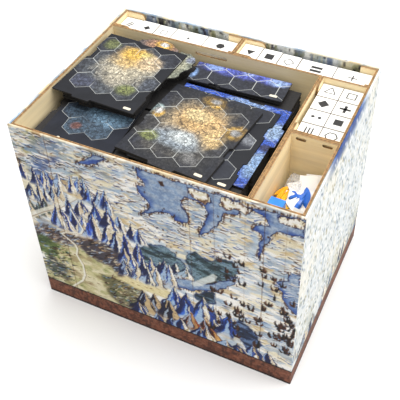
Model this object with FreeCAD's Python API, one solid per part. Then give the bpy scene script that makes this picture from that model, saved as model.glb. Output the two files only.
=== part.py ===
import FreeCAD, Part
import math
import os

# A large board game box, without its lid, fitted with a laser-cut plywood organizer.
# Millimetres, +Z up. The origin is at the middle of the underside, and the printed front faces -Y.

# ---------------------------------------------------------------- driving dimensions
BOX_WIDTH = 420.0            # outside, along X
BOX_DEPTH = 318.0            # outside, along Y
BOX_HEIGHT = 357.0           # outside, along Z
BOARD = 2.2                  # greyboard of the box walls and floor
PAPER = 0.4                  # printed paper glued round the board
TURN_IN = 46.0               # how far the paper is folded down inside the rim
PLY = 3.0                    # plywood of every tray and bin
FIT = 0.7                    # gap between the box and what stands in it
GAP = 0.8                    # gap between neighbouring trays
CLEAR = 0.3                  # gap under and around anything that lifts out
RIM_DROP = 1.5               # tray rims stand this far below the box rim
BACK_TRAY_DEPTH = 44.0       # outside depth of the two trays along the back
SIDE_WIDTH = 67.8            # outside width of the side tray and the token bin
SIDE_TRAY_LENGTH = 129.0     # outside length of the side tray
CARD_BOX_HEIGHT = 95.0       # every tuck box of cards
CARD_BOX_DROP = 9.5          # tops of the tuck boxes below the tray rims
NARROW_BOX = 30.0            # width of a narrow tuck box
WIDE_BOX = 54.0              # width of a wide tuck box
FINGER = 21.0                # aimed length of a finger in the corner joints
TAB = 24.0                   # length of the tabs that hold each tray floor
SCOOP_DEPTH = 34.0           # depth of the scooped tray walls
SCOOP_SHOULDER = 9.0         # rounding where a scoop leaves the rim
SCOOP_FOOT = 14.0            # rounding at the bottom of a scoop
BACK_SCOOP_ENDS = (26.0, 25.0)   # wall left at the ends of a back tray's rear scoop
FRONT_SCOOP_ENDS = (22.0, 8.0)   # and of its front scoop
SIDE_SCOOP_ENDS = (18.0, 14.0)   # and of the side tray's scoop, from the back
LIFT_SLOT_LENGTH = 52.0      # finger slot in the back of the tile bin
LIFT_SLOT_HEIGHT = 7.0
LIFT_SLOT_DROP = 12.0        # middle of that slot below the tray rims
HOOK_SLOT_LENGTH = 14.0      # pair of short slots in the back of the token bin
HOOK_SLOT_HEIGHT = 5.0
HOOK_SLOT_DROP = 8.0
HOOK_SLOT_INSET = 16.0       # from each side of the token bin
CARD_BOX_PLAY = 0.4          # gap between tuck boxes and the tray walls
TILE = 2.2                   # thickness of one map tile
STACK_X = (-198.0, 118.0)    # outline and top of the stack of tiles that fills the bin
STACK_Y = (-149.0, 99.0)
STACK_TOP = 329.0
TOP_TILE_DROP = 1.7          # highest tile below the tray rims
CORRIDOR_COUNT = 4           # narrow tiles stacked at the back of the bin
CASE = (20.0, 22.0, 82.0)    # small plastic case, and how it is turned in plan
CASE_TURN = -2.0
CASE_PLACE = (10.0, 11.5)    # its corner, from the inside corner of the token bin
BAG_DEPTH = 92.0             # bag of tokens and cards behind the case
BAG_HEIGHT = 50.0
BAG_CORNER = (28.0, 122.0)   # its full corner beside the case: width, and length with the rest
BAG_CORNER_HEIGHT = 70.0
BAG_ROUND = 9.0
BAG_PLAY = 2.0               # between the bag and the sides of the bin

# ---------------------------------------------------------------- places worked out from them
BOARD_X = BOX_WIDTH / 2 - PAPER
BOARD_Y = BOX_DEPTH / 2 - PAPER
INSIDE_X = BOARD_X - BOARD
INSIDE_Y = BOARD_Y - BOARD
CLEAR_X = INSIDE_X - PAPER
CLEAR_Y = INSIDE_Y - PAPER
ORG_X = CLEAR_X - FIT
ORG_Y = CLEAR_Y - FIT
RIM = BOX_HEIGHT - RIM_DROP
CARD_TOP = RIM - CARD_BOX_DROP
CARD_BOTTOM = CARD_TOP - CARD_BOX_HEIGHT
TRAY_BOTTOM = CARD_BOTTOM - CLEAR - PLY
RISER_TOP = TRAY_BOTTOM - CLEAR
BIN_BOTTOM = BOARD + CLEAR
BIN_FLOOR = BIN_BOTTOM + PLY
BACK_TRAY_FRONT = ORG_Y - BACK_TRAY_DEPTH
BIN_BACK = BACK_TRAY_FRONT - GAP
SIDE_LEFT = ORG_X - SIDE_WIDTH
BIN_RIGHT = SIDE_LEFT - GAP
SIDE_TRAY_FRONT = BIN_BACK - SIDE_TRAY_LENGTH
TOKEN_BACK = SIDE_TRAY_FRONT - GAP
LOW_TILE_TOP = STACK_TOP + CLEAR + TILE
SLATE_TOP = LOW_TILE_TOP + CLEAR + TILE
CENTRE_TOP = SLATE_TOP + CLEAR + 2 * TILE
TOP_TILE_TOP = RIM - TOP_TILE_DROP
LEFT_PILE = (LOW_TILE_TOP + CLEAR, TOP_TILE_TOP - TILE - CLEAR)
CORRIDOR_PILE = CORRIDOR_COUNT * TILE


def vec(x, y, z):
    return FreeCAD.Vector(x, y, z)


def block(x, y, z):
    """A box from three (low, high) pairs."""
    return Part.makeBox(x[1] - x[0], y[1] - y[0], z[1] - z[0], vec(x[0], y[0], z[0]))


def save(node, shape):
    shape.exportStep("parts/" + node + ".step")


# ---------------------------------------------------------------- the cardboard box
def box_boards():
    """Floor and four walls of greyboard: front and back run the full width."""
    height = (0.0, BOX_HEIGHT - PAPER)
    long_side = (-BOARD_X, BOARD_X)
    short_side = (-INSIDE_Y, INSIDE_Y)
    return {
        "box_floor": block((-INSIDE_X, INSIDE_X), (-INSIDE_Y, INSIDE_Y), (0.0, BOARD)),
        "box_front_wall": block(long_side, (-BOARD_Y, -INSIDE_Y), height),
        "box_back_wall": block(long_side, (INSIDE_Y, BOARD_Y), height),
        "box_left_wall": block((-BOARD_X, -INSIDE_X), short_side, height),
        "box_right_wall": block((INSIDE_X, BOARD_X), short_side, height),
    }


def printed_wrap():
    """Paper skin on the outside, over the rim and down the inside of the walls."""
    half_x = BOX_WIDTH / 2
    half_y = BOX_DEPTH / 2
    below = -1.0
    under_rim = BOX_HEIGHT - PAPER
    outside = block((-half_x, half_x), (-half_y, half_y), (0.0, BOX_HEIGHT))
    boards = block((-BOARD_X, BOARD_X), (-BOARD_Y, BOARD_Y), (below, under_rim))
    turned_in = (under_rim - TURN_IN, BOX_HEIGHT)
    inner_band = block((-INSIDE_X, INSIDE_X), (-INSIDE_Y, INSIDE_Y), turned_in)
    mouth = block((-CLEAR_X, CLEAR_X), (-CLEAR_Y, CLEAR_Y), (below, BOX_HEIGHT + 1.0))
    return outside.cut(boards).fuse(inner_band).cut(mouth).removeSplitter()


# ---------------------------------------------------------------- laser-cut trays
def finger_spans(low, high):
    """Divide an upright corner into an odd number of equal fingers."""
    count = 2 * round((high - low) / FINGER / 2) + 1
    step = (high - low) / count
    return [(low + i * step, low + (i + 1) * step) for i in range(count)]


def tab_spans(low, high):
    """One tab on a short edge, two on a longer one, three on a very long one."""
    length = high - low
    count = 1 if length < 3 * TAB else 2 if length < 11 * TAB else 3
    middles = [low + length * (i + 0.5) / count for i in range(count)]
    return [(middle - TAB / 2, middle + TAB / 2) for middle in middles]


def tray_panels(x, y, z):
    """Floor and four walls of a tray, finger-jointed, that fills the given box."""
    x_in = (x[0] + PLY, x[1] - PLY)
    y_in = (y[0] + PLY, y[1] - PLY)
    floor_z = (z[0], z[0] + PLY)
    walls = {
        "front": block(x, (y[0], y_in[0]), z),
        "back": block(x, (y_in[1], y[1]), z),
        "left": block((x[0], x_in[0]), y, z),
        "right": block((x_in[1], x[1]), y, z),
    }
    x_ends = ((x[0], x_in[0]), (x_in[1], x[1]))
    y_ends = ((y[0], y_in[0]), (y_in[1], y[1]))
    for i, span in enumerate(finger_spans(*z)):
        posts = Part.makeCompound([block(a, b, span) for a in x_ends for b in y_ends])
        for name in (("left", "right") if i % 2 == 0 else ("front", "back")):
            walls[name] = walls[name].cut(posts)
    floor = block(x_in, y_in, floor_z)
    tabs = [block(span, y, floor_z) for span in tab_spans(*x_in)]
    tabs += [block(x, span, floor_z) for span in tab_spans(*y_in)]
    for tab in tabs:
        floor = floor.fuse(tab)
        walls = {name: wall.cut(tab) for name, wall in walls.items()}
    walls["bottom"] = floor.removeSplitter()
    return walls


def upright(points_to_edges, along, thickness):
    """Extrude an outline in (sideways, up) through a wall that runs along X or Y."""
    def place(point):
        return vec(point[0], thickness[0], point[1]) if along == "X" else vec(thickness[0], *point)
    edges = []
    start = points_to_edges[0]
    for step in points_to_edges[1:]:
        if len(step) == 2 and isinstance(step[0], tuple):
            middle, end = step
            edges.append(Part.Arc(place(start), place(middle), place(end)).toShape())
        else:
            end = step
            edges.append(Part.LineSegment(place(start), place(end)).toShape())
        start = end
    run = thickness[1] - thickness[0]
    direction = vec(0, run, 0) if along == "X" else vec(run, 0, 0)
    return Part.Face(Part.Wire(edges)).extrude(direction)


def quarter(centre, radius, right, up):
    """Middle point of a quarter circle, in the quadrant given by the two signs."""
    reach = radius * math.sqrt(0.5)
    return (centre[0] + right * reach, centre[1] + up * reach)


def scoop(near, far, top, along, thickness, round_far=False):
    """Cut-out from the rim: a rounded shoulder at near, a square or rounded end at far."""
    side = 1 if far > near else -1
    low = top - SCOOP_DEPTH
    over = top + 1.0
    edge = near + side * SCOOP_SHOULDER
    foot = edge + side * SCOOP_FOOT
    outline = [
        (near, over),
        (near, top),
        (quarter((near, top - SCOOP_SHOULDER), SCOOP_SHOULDER, side, 1), (edge, top - SCOOP_SHOULDER)),
        (edge, low + SCOOP_FOOT),
        (quarter((foot, low + SCOOP_FOOT), SCOOP_FOOT, -side, -1), (foot, low)),
    ]
    if round_far:
        far_edge = far - side * SCOOP_SHOULDER
        far_foot = far_edge - side * SCOOP_FOOT
        outline += [
            (far_foot, low),
            (quarter((far_foot, low + SCOOP_FOOT), SCOOP_FOOT, side, -1), (far_edge, low + SCOOP_FOOT)),
            (far_edge, top - SCOOP_SHOULDER),
            (quarter((far, top - SCOOP_SHOULDER), SCOOP_SHOULDER, -side, 1), (far, top)),
            (far, over),
        ]
    else:
        far_foot = far - side * SCOOP_FOOT
        outline += [
            (far_foot, low),
            (quarter((far_foot, low + SCOOP_FOOT), SCOOP_FOOT, side, -1), (far, low + SCOOP_FOOT)),
            (far, over),
        ]
    outline.append((near, over))
    return upright(outline, along, thickness)


def slot(centre, length, height, along, thickness):
    """A finger slot with half-round ends."""
    radius = height / 2
    reach = length / 2 - radius
    left = centre[0] - reach
    right = centre[0] + reach
    outline = [
        (left, centre[1] - radius),
        (right, centre[1] - radius),
        ((right + radius, centre[1]), (right, centre[1] + radius)),
        (left, centre[1] + radius),
        ((left - radius, centre[1]), (left, centre[1] - radius)),
    ]
    return upright(outline, along, thickness)


def through(low, high):
    """A wall's thickness with a margin on both faces, for a cut right through."""
    return (low - 1.0, high + 1.0)


def back_tray(x):
    """A card box tray: its front and back walls are scooped so that the boxes can be gripped."""
    y = (BACK_TRAY_FRONT, ORG_Y)
    panels = tray_panels(x, y, (TRAY_BOTTOM, RIM))
    rear = (x[0] + BACK_SCOOP_ENDS[0], x[1] - BACK_SCOOP_ENDS[1])
    fore = (x[0] + FRONT_SCOOP_ENDS[0], x[1] - FRONT_SCOOP_ENDS[1])
    panels["back"] = panels["back"].cut(scoop(*rear, RIM, "X", through(y[1] - PLY, y[1])))
    panels["front"] = panels["front"].cut(scoop(*fore, RIM, "X", through(y[0], y[0] + PLY)))
    return panels


def side_tray():
    """A card box tray of two columns: the wall beside the tile bin is scooped."""
    x = (SIDE_LEFT, ORG_X)
    panels = tray_panels(x, (SIDE_TRAY_FRONT, BIN_BACK), (TRAY_BOTTOM, RIM))
    ends = (BIN_BACK - SIDE_SCOOP_ENDS[0], SIDE_TRAY_FRONT + SIDE_SCOOP_ENDS[1])
    cut = scoop(*ends, RIM, "Y", through(x[0], x[0] + PLY), round_far=True)
    panels["left"] = panels["left"].cut(cut)
    return panels


def token_bin():
    """A deep open bin with a pair of short slots near the top of its back wall."""
    x = (SIDE_LEFT, ORG_X)
    panels = tray_panels(x, (-ORG_Y, TOKEN_BACK), (TRAY_BOTTOM, RIM))
    wall = through(TOKEN_BACK - PLY, TOKEN_BACK)
    for across in (x[0] + HOOK_SLOT_INSET, x[1] - HOOK_SLOT_INSET):
        centre = (across, RIM - HOOK_SLOT_DROP)
        cut = slot(centre, HOOK_SLOT_LENGTH, HOOK_SLOT_HEIGHT, "X", wall)
        panels["back"] = panels["back"].cut(cut)
    return panels


def tile_bin():
    """The full-height bin for the map tiles, with a lifting slot in its back wall."""
    x = (-ORG_X, BIN_RIGHT)
    panels = tray_panels(x, (-ORG_Y, BIN_BACK), (BIN_BOTTOM, RIM))
    centre = (sum(x) / 2, RIM - LIFT_SLOT_DROP)
    wall = through(BIN_BACK - PLY, BIN_BACK)
    panels["back"] = panels["back"].cut(slot(centre, LIFT_SLOT_LENGTH, LIFT_SLOT_HEIGHT, "X", wall))
    return panels


def tray_riser():
    """Plywood stands on the box floor that hold the upper trays at rim height."""
    solids = []
    back = ((-ORG_X, ORG_X), (BACK_TRAY_FRONT, ORG_Y))
    side = ((SIDE_LEFT, ORG_X), (-ORG_Y, BIN_BACK))
    for x, y in (back, side):
        deck_z = (RISER_TOP - PLY, RISER_TOP)
        wall_z = (BOARD, RISER_TOP - PLY)
        solids.append(block(x, y, deck_z))
        solids.append(block(x, (y[0], y[0] + PLY), wall_z))
        solids.append(block(x, (y[1] - PLY, y[1]), wall_z))
        inner = (y[0] + PLY, y[1] - PLY)
        solids.append(block((x[0], x[0] + PLY), inner, wall_z))
        solids.append(block((x[1] - PLY, x[1]), inner, wall_z))
    return Part.makeCompound(solids)


# ---------------------------------------------------------------- tuck boxes of cards
def card_box(x, y, rise=0.0):
    """A closed tuck box, standing on its tray floor."""
    return block(x, y, (CARD_BOTTOM, CARD_TOP + rise))


def back_tray_boxes(tray_left, names, rises):
    """Three narrow and two wide boxes side by side, with even gaps."""
    widths = [NARROW_BOX] * 3 + [WIDE_BOX] * 2
    inside = (tray_left[1] - PLY) - (tray_left[0] + PLY)
    gap = (inside - sum(widths)) / (len(widths) + 1)
    y = (BACK_TRAY_FRONT + PLY + CARD_BOX_PLAY, ORG_Y - PLY - CARD_BOX_PLAY)
    left = tray_left[0] + PLY + gap
    boxes = {}
    for name, width, rise in zip(names, widths, rises):
        boxes[name] = card_box((left, left + width), y, rise)
        left += width + gap
    return boxes


def side_tray_boxes(names):
    """Two columns of four boxes, counted from the back, left column first in each row."""
    gap = CARD_BOX_PLAY
    x0 = SIDE_LEFT + PLY
    y1 = BIN_BACK - PLY
    width = (SIDE_WIDTH - 2 * PLY - 3 * gap) / 2
    depth = (SIDE_TRAY_LENGTH - 2 * PLY - 5 * gap) / 4
    boxes = {}
    for i, name in enumerate(names):
        row, column = divmod(i, 2)
        left = x0 + gap + column * (width + gap)
        back = y1 - gap - row * (depth + gap)
        boxes[name] = card_box((left, left + width), (back - depth, back))
    return boxes


# ---------------------------------------------------------------- map tiles
def map_tile(size, centre, top, turn, thickness=TILE, tabs=(), notches=()):
    """A die-cut tile: tabs and notches are (side, place along it, length, reach)."""
    half_w = size[0] / 2
    half_l = size[1] / 2
    z = (top - thickness, top)
    shape = block((-half_w, half_w), (-half_l, half_l), z)

    def edge_block(side, along, length, out, into):
        span = (along - length / 2, along + length / 2)
        if side in ("left", "right"):
            face = half_w if side == "right" else -half_w
            reach = (face - into, face + out) if side == "right" else (face - out, face + into)
            return block(reach, span, z)
        face = half_l if side == "back" else -half_l
        reach = (face - into, face + out) if side == "back" else (face - out, face + into)
        return block(span, reach, z)

    for side, along, length, reach in tabs:
        shape = shape.fuse(edge_block(side, along, length, reach, 1.0))
    for side, along, length, reach in notches:
        shape = shape.cut(edge_block(side, along, length, 1.0, reach))
    shape = shape.removeSplitter()
    shape.rotate(vec(0, 0, 0), vec(0, 0, 1), turn)
    shape.translate(vec(centre[0], centre[1], 0))
    return shape


def map_tiles():
    """The stack that fills the bin, and the loose tiles that lie on top of it.

    Each loose tile: its size, its middle, the height of its top and its turn in degrees.
    """
    return {
        "tile_stack": block(STACK_X, STACK_Y, (BIN_FLOOR + CLEAR, STACK_TOP)),
        "lower_left_tile": map_tile(
            (112.0, 128.0), (-127.5, -79.0), LOW_TILE_TOP, 3.0,
            tabs=[("front", 30.0, 26.0, 4.0)], notches=[("left", 20.0, 24.0, 4.0)]),
        "left_tile_pile": map_tile(
            (122.0, 142.0), (-133.0, 12.0), LEFT_PILE[1], -1.0, LEFT_PILE[1] - LEFT_PILE[0]),
        "top_left_tile": map_tile(
            (134.0, 153.0), (-131.5, 9.0), TOP_TILE_TOP, -2.6,
            tabs=[("front", -18.0, 30.0, 4.0)],
            notches=[("left", 22.0, 26.0, 4.0), ("back", 0.0, 26.0, 5.0)]),
        "ice_tile": map_tile(
            (164.0, 164.0), (35.0, -36.0), LOW_TILE_TOP, -1.0,
            tabs=[("right", 22.0, 40.0, 5.5)], notches=[("front", -30.0, 30.0, 5.0)]),
        "slate_tile": map_tile(
            (148.0, 164.0), (30.0, -48.0), SLATE_TOP, -2.4,
            notches=[("front", 30.0, 26.0, 5.0)]),
        "centre_tile": map_tile(
            (138.0, 156.0), (9.0, -52.0), CENTRE_TOP, -5.5, 2 * TILE,
            tabs=[("front", 4.0, 40.0, 5.0)], notches=[("right", -17.0, 22.0, 4.0)]),
        "corridor_tiles": map_tile(
            (146.0, 46.0), (26.0, 73.5), STACK_TOP + CLEAR + CORRIDOR_PILE, 1.5, CORRIDOR_PILE),
    }


# ---------------------------------------------------------------- what lies in the token bin
def token_bin_contents():
    """A small block-shaped plastic case, and a soft bag of tokens and cards."""
    wide, deep, tall = CASE
    floor = CARD_BOTTOM
    inside = (SIDE_LEFT + PLY, -ORG_Y + PLY)
    case = block((0.0, wide), (0.0, deep), (floor, floor + tall))
    case.rotate(vec(wide / 2, deep / 2, 0), vec(0, 0, 1), CASE_TURN)
    case.translate(vec(inside[0] + CASE_PLACE[0], inside[1] + CASE_PLACE[1], 0))
    right = ORG_X - PLY - BAG_PLAY
    back = TOKEN_BACK - PLY - BAG_PLAY
    bag = block((inside[0] + BAG_PLAY, right), (back - BAG_DEPTH, back), (floor, floor + BAG_HEIGHT))
    corner = block((right - BAG_CORNER[0], right), (back - BAG_CORNER[1], back - BAG_DEPTH / 2),
                   (floor, floor + BAG_CORNER_HEIGHT))
    bag = bag.fuse(corner).removeSplitter()
    low = floor + BAG_HEIGHT - 1.0
    upper = [edge for edge in bag.Edges if edge.BoundBox.ZMin > low]
    rounded = bag.makeFillet(BAG_ROUND, upper)
    return {"token_case": case, "token_bag": rounded}


def main():
    os.makedirs("parts", exist_ok=True)
    nodes = box_boards()
    nodes["printed_wrap"] = printed_wrap()
    nodes["tray_riser"] = tray_riser()
    half_gap = GAP / 2
    left_half = (-ORG_X, -half_gap)
    right_half = (half_gap, ORG_X)
    trays = {
        "tile_bin": tile_bin(),
        "back_left_tray": back_tray(left_half),
        "back_right_tray": back_tray(right_half),
        "side_tray": side_tray(),
        "token_bin": token_bin(),
    }
    for tray, panels in trays.items():
        for panel, shape in panels.items():
            nodes[tray + "_" + panel] = shape
    left_names = ["left_card_box_%d" % i for i in range(1, 6)]
    right_names = ["right_card_box_%d" % i for i in range(1, 6)]
    side_names = ["side_card_box_%d" % i for i in range(1, 9)]
    nodes.update(back_tray_boxes(left_half, left_names, (0.0, 0.6, 0.0, 0.0, 0.0)))
    nodes.update(back_tray_boxes(right_half, right_names, (3.0, 2.4, 1.2, 0.0, 0.0)))
    nodes.update(side_tray_boxes(side_names))
    nodes.update(map_tiles())
    nodes.update(token_bin_contents())
    for node, shape in nodes.items():
        save(node, shape)
        print("%-24s %10.0f mm3  valid %s" % (node, shape.Volume, shape.isValid()))
    print(len(nodes), "nodes")


main()
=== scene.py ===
import math

import bmesh
import bpy
import numpy as np
from mathutils import Matrix, Vector


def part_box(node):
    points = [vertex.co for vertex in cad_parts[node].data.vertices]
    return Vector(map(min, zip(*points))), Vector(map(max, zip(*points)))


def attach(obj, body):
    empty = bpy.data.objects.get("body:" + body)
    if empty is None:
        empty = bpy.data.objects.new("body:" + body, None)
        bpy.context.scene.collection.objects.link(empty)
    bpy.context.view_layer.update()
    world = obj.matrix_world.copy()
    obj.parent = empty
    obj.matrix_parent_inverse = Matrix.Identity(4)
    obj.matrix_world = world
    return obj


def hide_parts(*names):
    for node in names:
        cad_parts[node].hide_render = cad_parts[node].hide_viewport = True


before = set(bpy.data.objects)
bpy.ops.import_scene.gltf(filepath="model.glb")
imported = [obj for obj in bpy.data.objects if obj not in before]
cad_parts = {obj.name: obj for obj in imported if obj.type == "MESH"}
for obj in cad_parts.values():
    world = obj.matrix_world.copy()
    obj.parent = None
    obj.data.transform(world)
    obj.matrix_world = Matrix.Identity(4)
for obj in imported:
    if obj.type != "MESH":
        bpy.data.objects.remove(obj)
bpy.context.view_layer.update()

mm = 0.001

# ---------------------------------------------------------------- camera, table and light
# The open box stands on a white table and is seen from above, a little to the right of its printed front.
# A wide soft lamp on the right washes out the right side; a white room fills the rest.
scene = bpy.context.scene
scene.view_settings.view_transform = "Standard"
azimuth, elevation, roll = [math.radians(angle) for angle in (-27.14, -42.37, -2.30)]
forward = Vector((math.cos(elevation) * math.sin(azimuth), math.cos(elevation) * math.cos(azimuth),
                  math.sin(elevation)))
level_right = forward.cross(Vector((0, 0, 1))).normalized()
level_up = level_right.cross(forward)
camera_right = math.cos(roll) * level_right + math.sin(roll) * level_up
camera_up = math.cos(roll) * level_up - math.sin(roll) * level_right
camera = bpy.data.objects.new("camera", bpy.data.cameras.new("camera"))
camera.matrix_world = (Matrix.Translation((0.3630, -0.7168, 0.9799))
                       @ Matrix((camera_right, camera_up, -forward)).transposed().to_4x4())
camera.data.lens = 66.3
camera.data.shift_y = -0.115
scene.collection.objects.link(camera)
scene.camera = camera


def new_object(name, mesh):
    made = bpy.data.objects.new(name, mesh)
    scene.collection.objects.link(made)
    return made


def new_material(name, roughness=0.6):
    material = bpy.data.materials.new(name)
    material.use_nodes = True
    surface = material.node_tree.nodes["Principled BSDF"]
    surface.inputs["Roughness"].default_value = roughness
    return material, surface


def add(tree, kind, inputs=None, **settings):
    """A shader node with its settings, and its inputs by name or number: a value or another node's output."""
    node = tree.nodes.new("ShaderNode" + kind)
    for key, value in settings.items():
        setattr(node, key, value)
    for key, value in (inputs or {}).items():
        if isinstance(value, bpy.types.NodeSocket):
            tree.links.new(value, node.inputs[key])
        else:
            node.inputs[key].default_value = value
    return node


def lamp(name, place, aim, size, power, colour):
    made = bpy.data.objects.new(name, bpy.data.lights.new(name, "AREA"))
    made.data.shape = "DISK"
    made.data.size = size
    made.data.energy = power
    made.data.color = colour
    made.location = place
    made.rotation_euler = (Vector(aim) - Vector(place)).to_track_quat("-Z", "Y").to_euler()
    scene.collection.objects.link(made)


table_mesh = bpy.data.meshes.new("table")
table_mesh.from_pydata([(-4, -4, 0), (4, -4, 0), (4, 4, 0), (-4, 4, 0)], [], [(0, 1, 2, 3)])
table = new_object("table", table_mesh)
table_material, table_surface = new_material("white_table", 0.7)
table_surface.inputs["Base Color"].default_value = (0.93, 0.93, 0.93, 1)
table_mesh.materials.append(table_material)
room = bpy.data.worlds.new("white_room")
room.use_nodes = True
room.node_tree.nodes["Background"].inputs["Color"].default_value = (1.0, 0.99, 0.98, 1)
room.node_tree.nodes["Background"].inputs["Strength"].default_value = 0.60
scene.world = room
lamp("right_softbox", (1.8, 0.3, 1.3), (0.1, 0.0, 0.2), 1.4, 14.0, (1.0, 0.98, 0.95))
lamp("overhead_softbox", (0.2, 0.1, 2.4), (0.0, 0.0, 0.0), 2.2, 62, (1.0, 0.99, 0.97))

# ---------------------------------------------------------------- the cardboard box: boards
# Set-up box of recycled greyboard: dull grey-brown, pressed from short fibres with dark and pale flecks.
# It shows inside below the turned-in paper, and under the box.
board_material, board_surface = new_material("greyboard", 0.92)
tree = board_material.node_tree
place = add(tree, "TexCoord").outputs["Object"]
flecks = add(tree, "TexNoise", {"Vector": place, "Scale": 900.0, "Detail": 3.0})
clouds = add(tree, "TexNoise", {"Vector": place, "Scale": 40.0, "Detail": 4.0})
board_tone = add(tree, "MixRGB", {0: clouds.outputs["Fac"], 1: (0.20, 0.185, 0.165, 1),
                                  2: (0.29, 0.27, 0.24, 1)})
board_fleck = add(tree, "MapRange", {"Value": flecks.outputs["Fac"], 1: 0.35, 2: 0.65, 3: 0.8, 4: 1.15})
board_colour = add(tree, "MixRGB", {0: 1.0, 1: board_tone.outputs[0], 2: board_fleck.outputs[0]},
                   blend_type="MULTIPLY")
tree.links.new(board_colour.outputs[0], board_surface.inputs["Base Color"])
board_bump = add(tree, "Bump", {"Height": flecks.outputs["Fac"], "Strength": 0.25, "Distance": 0.0002})
tree.links.new(board_bump.outputs[0], board_surface.inputs["Normal"])
for name in ("box_floor", "box_front_wall", "box_back_wall", "box_left_wall", "box_right_wall"):
    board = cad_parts[name]
    board.data.materials.clear()
    board.data.materials.append(board_material)

# ---------------------------------------------------------------- the cardboard box: printed wrap
# Matte laminated paper glued round the boards, over the rim and a hand's width down the inside.
# It carries a painted aerial view of snowfields, sea, mountain ranges and a plain, with a brown foot band.
CREAM, SNOW, TAN = (0.87, 0.82, 0.70), (0.95, 0.93, 0.89), (0.74, 0.65, 0.51)
OLIVE, GREEN, TEAL = (0.52, 0.51, 0.36), (0.34, 0.42, 0.24), (0.36, 0.45, 0.48)
ICE, SEA, ROYAL = (0.64, 0.71, 0.79), (0.47, 0.56, 0.68), (0.25, 0.35, 0.59)
NAVY, INK, UMBER, RUST = (0.14, 0.18, 0.36), (0.11, 0.09, 0.11), (0.34, 0.23, 0.17), (0.62, 0.34, 0.18)
SNOW_MARKS = (ROYAL, NAVY, UMBER, SEA, ICE, TAN, INK)
lattice = np.random.default_rng(7).random((128, 128))


def noise(x, y, size, octaves=4):
    """Soft fractal noise from 0 to 1, with its largest features about size millimetres wide."""
    total = np.zeros(np.shape(x))
    weight = 1.0
    u, v = x / size + 31.7, y / size + 57.3
    for _ in range(octaves):
        iu, iv = np.floor(u).astype(int), np.floor(v).astype(int)
        fu, fv = u - iu, v - iv
        fu, fv = fu * fu * (3 - 2 * fu), fv * fv * (3 - 2 * fv)
        near = lattice[iu % 128, iv % 128] * (1 - fu) + lattice[(iu + 1) % 128, iv % 128] * fu
        far = lattice[iu % 128, (iv + 1) % 128] * (1 - fu) + lattice[(iu + 1) % 128, (iv + 1) % 128] * fu
        total += weight * (near * (1 - fv) + far * fv)
        weight *= 0.5
        u, v = u * 2.03 + 17.2, v * 2.03 + 5.1
    return total / (2 - 2 * weight)


def ramp(value, low, high):
    """Rises from 0 at low to 1 at high; falls if low is the larger."""
    return np.clip((value - low) / (high - low), 0, 1)


def line_distance(x, y, start, end):
    """How far points lie from a line between two points, and how far along it, from 0 to 1."""
    run = (end[0] - start[0], end[1] - start[1])
    along = np.clip(((x - start[0]) * run[0] + (y - start[1]) * run[1]) / (run[0] ** 2 + run[1] ** 2
            + 1e-9), 0, 1)
    return np.hypot(x - start[0] - along * run[0], y - start[1] - along * run[1]), along


def inside(outline, x, y):
    """Whether points lie inside a closed outline."""
    within = np.zeros(np.shape(x), bool)
    for (x0, y0), (x1, y1) in zip(outline, np.roll(outline, -1, 0)):
        if y0 != y1:
            within ^= ((y0 > y) != (y1 > y)) & (x < x0 + (y - y0) * (x1 - x0) / (y1 - y0))
    return within


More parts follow.
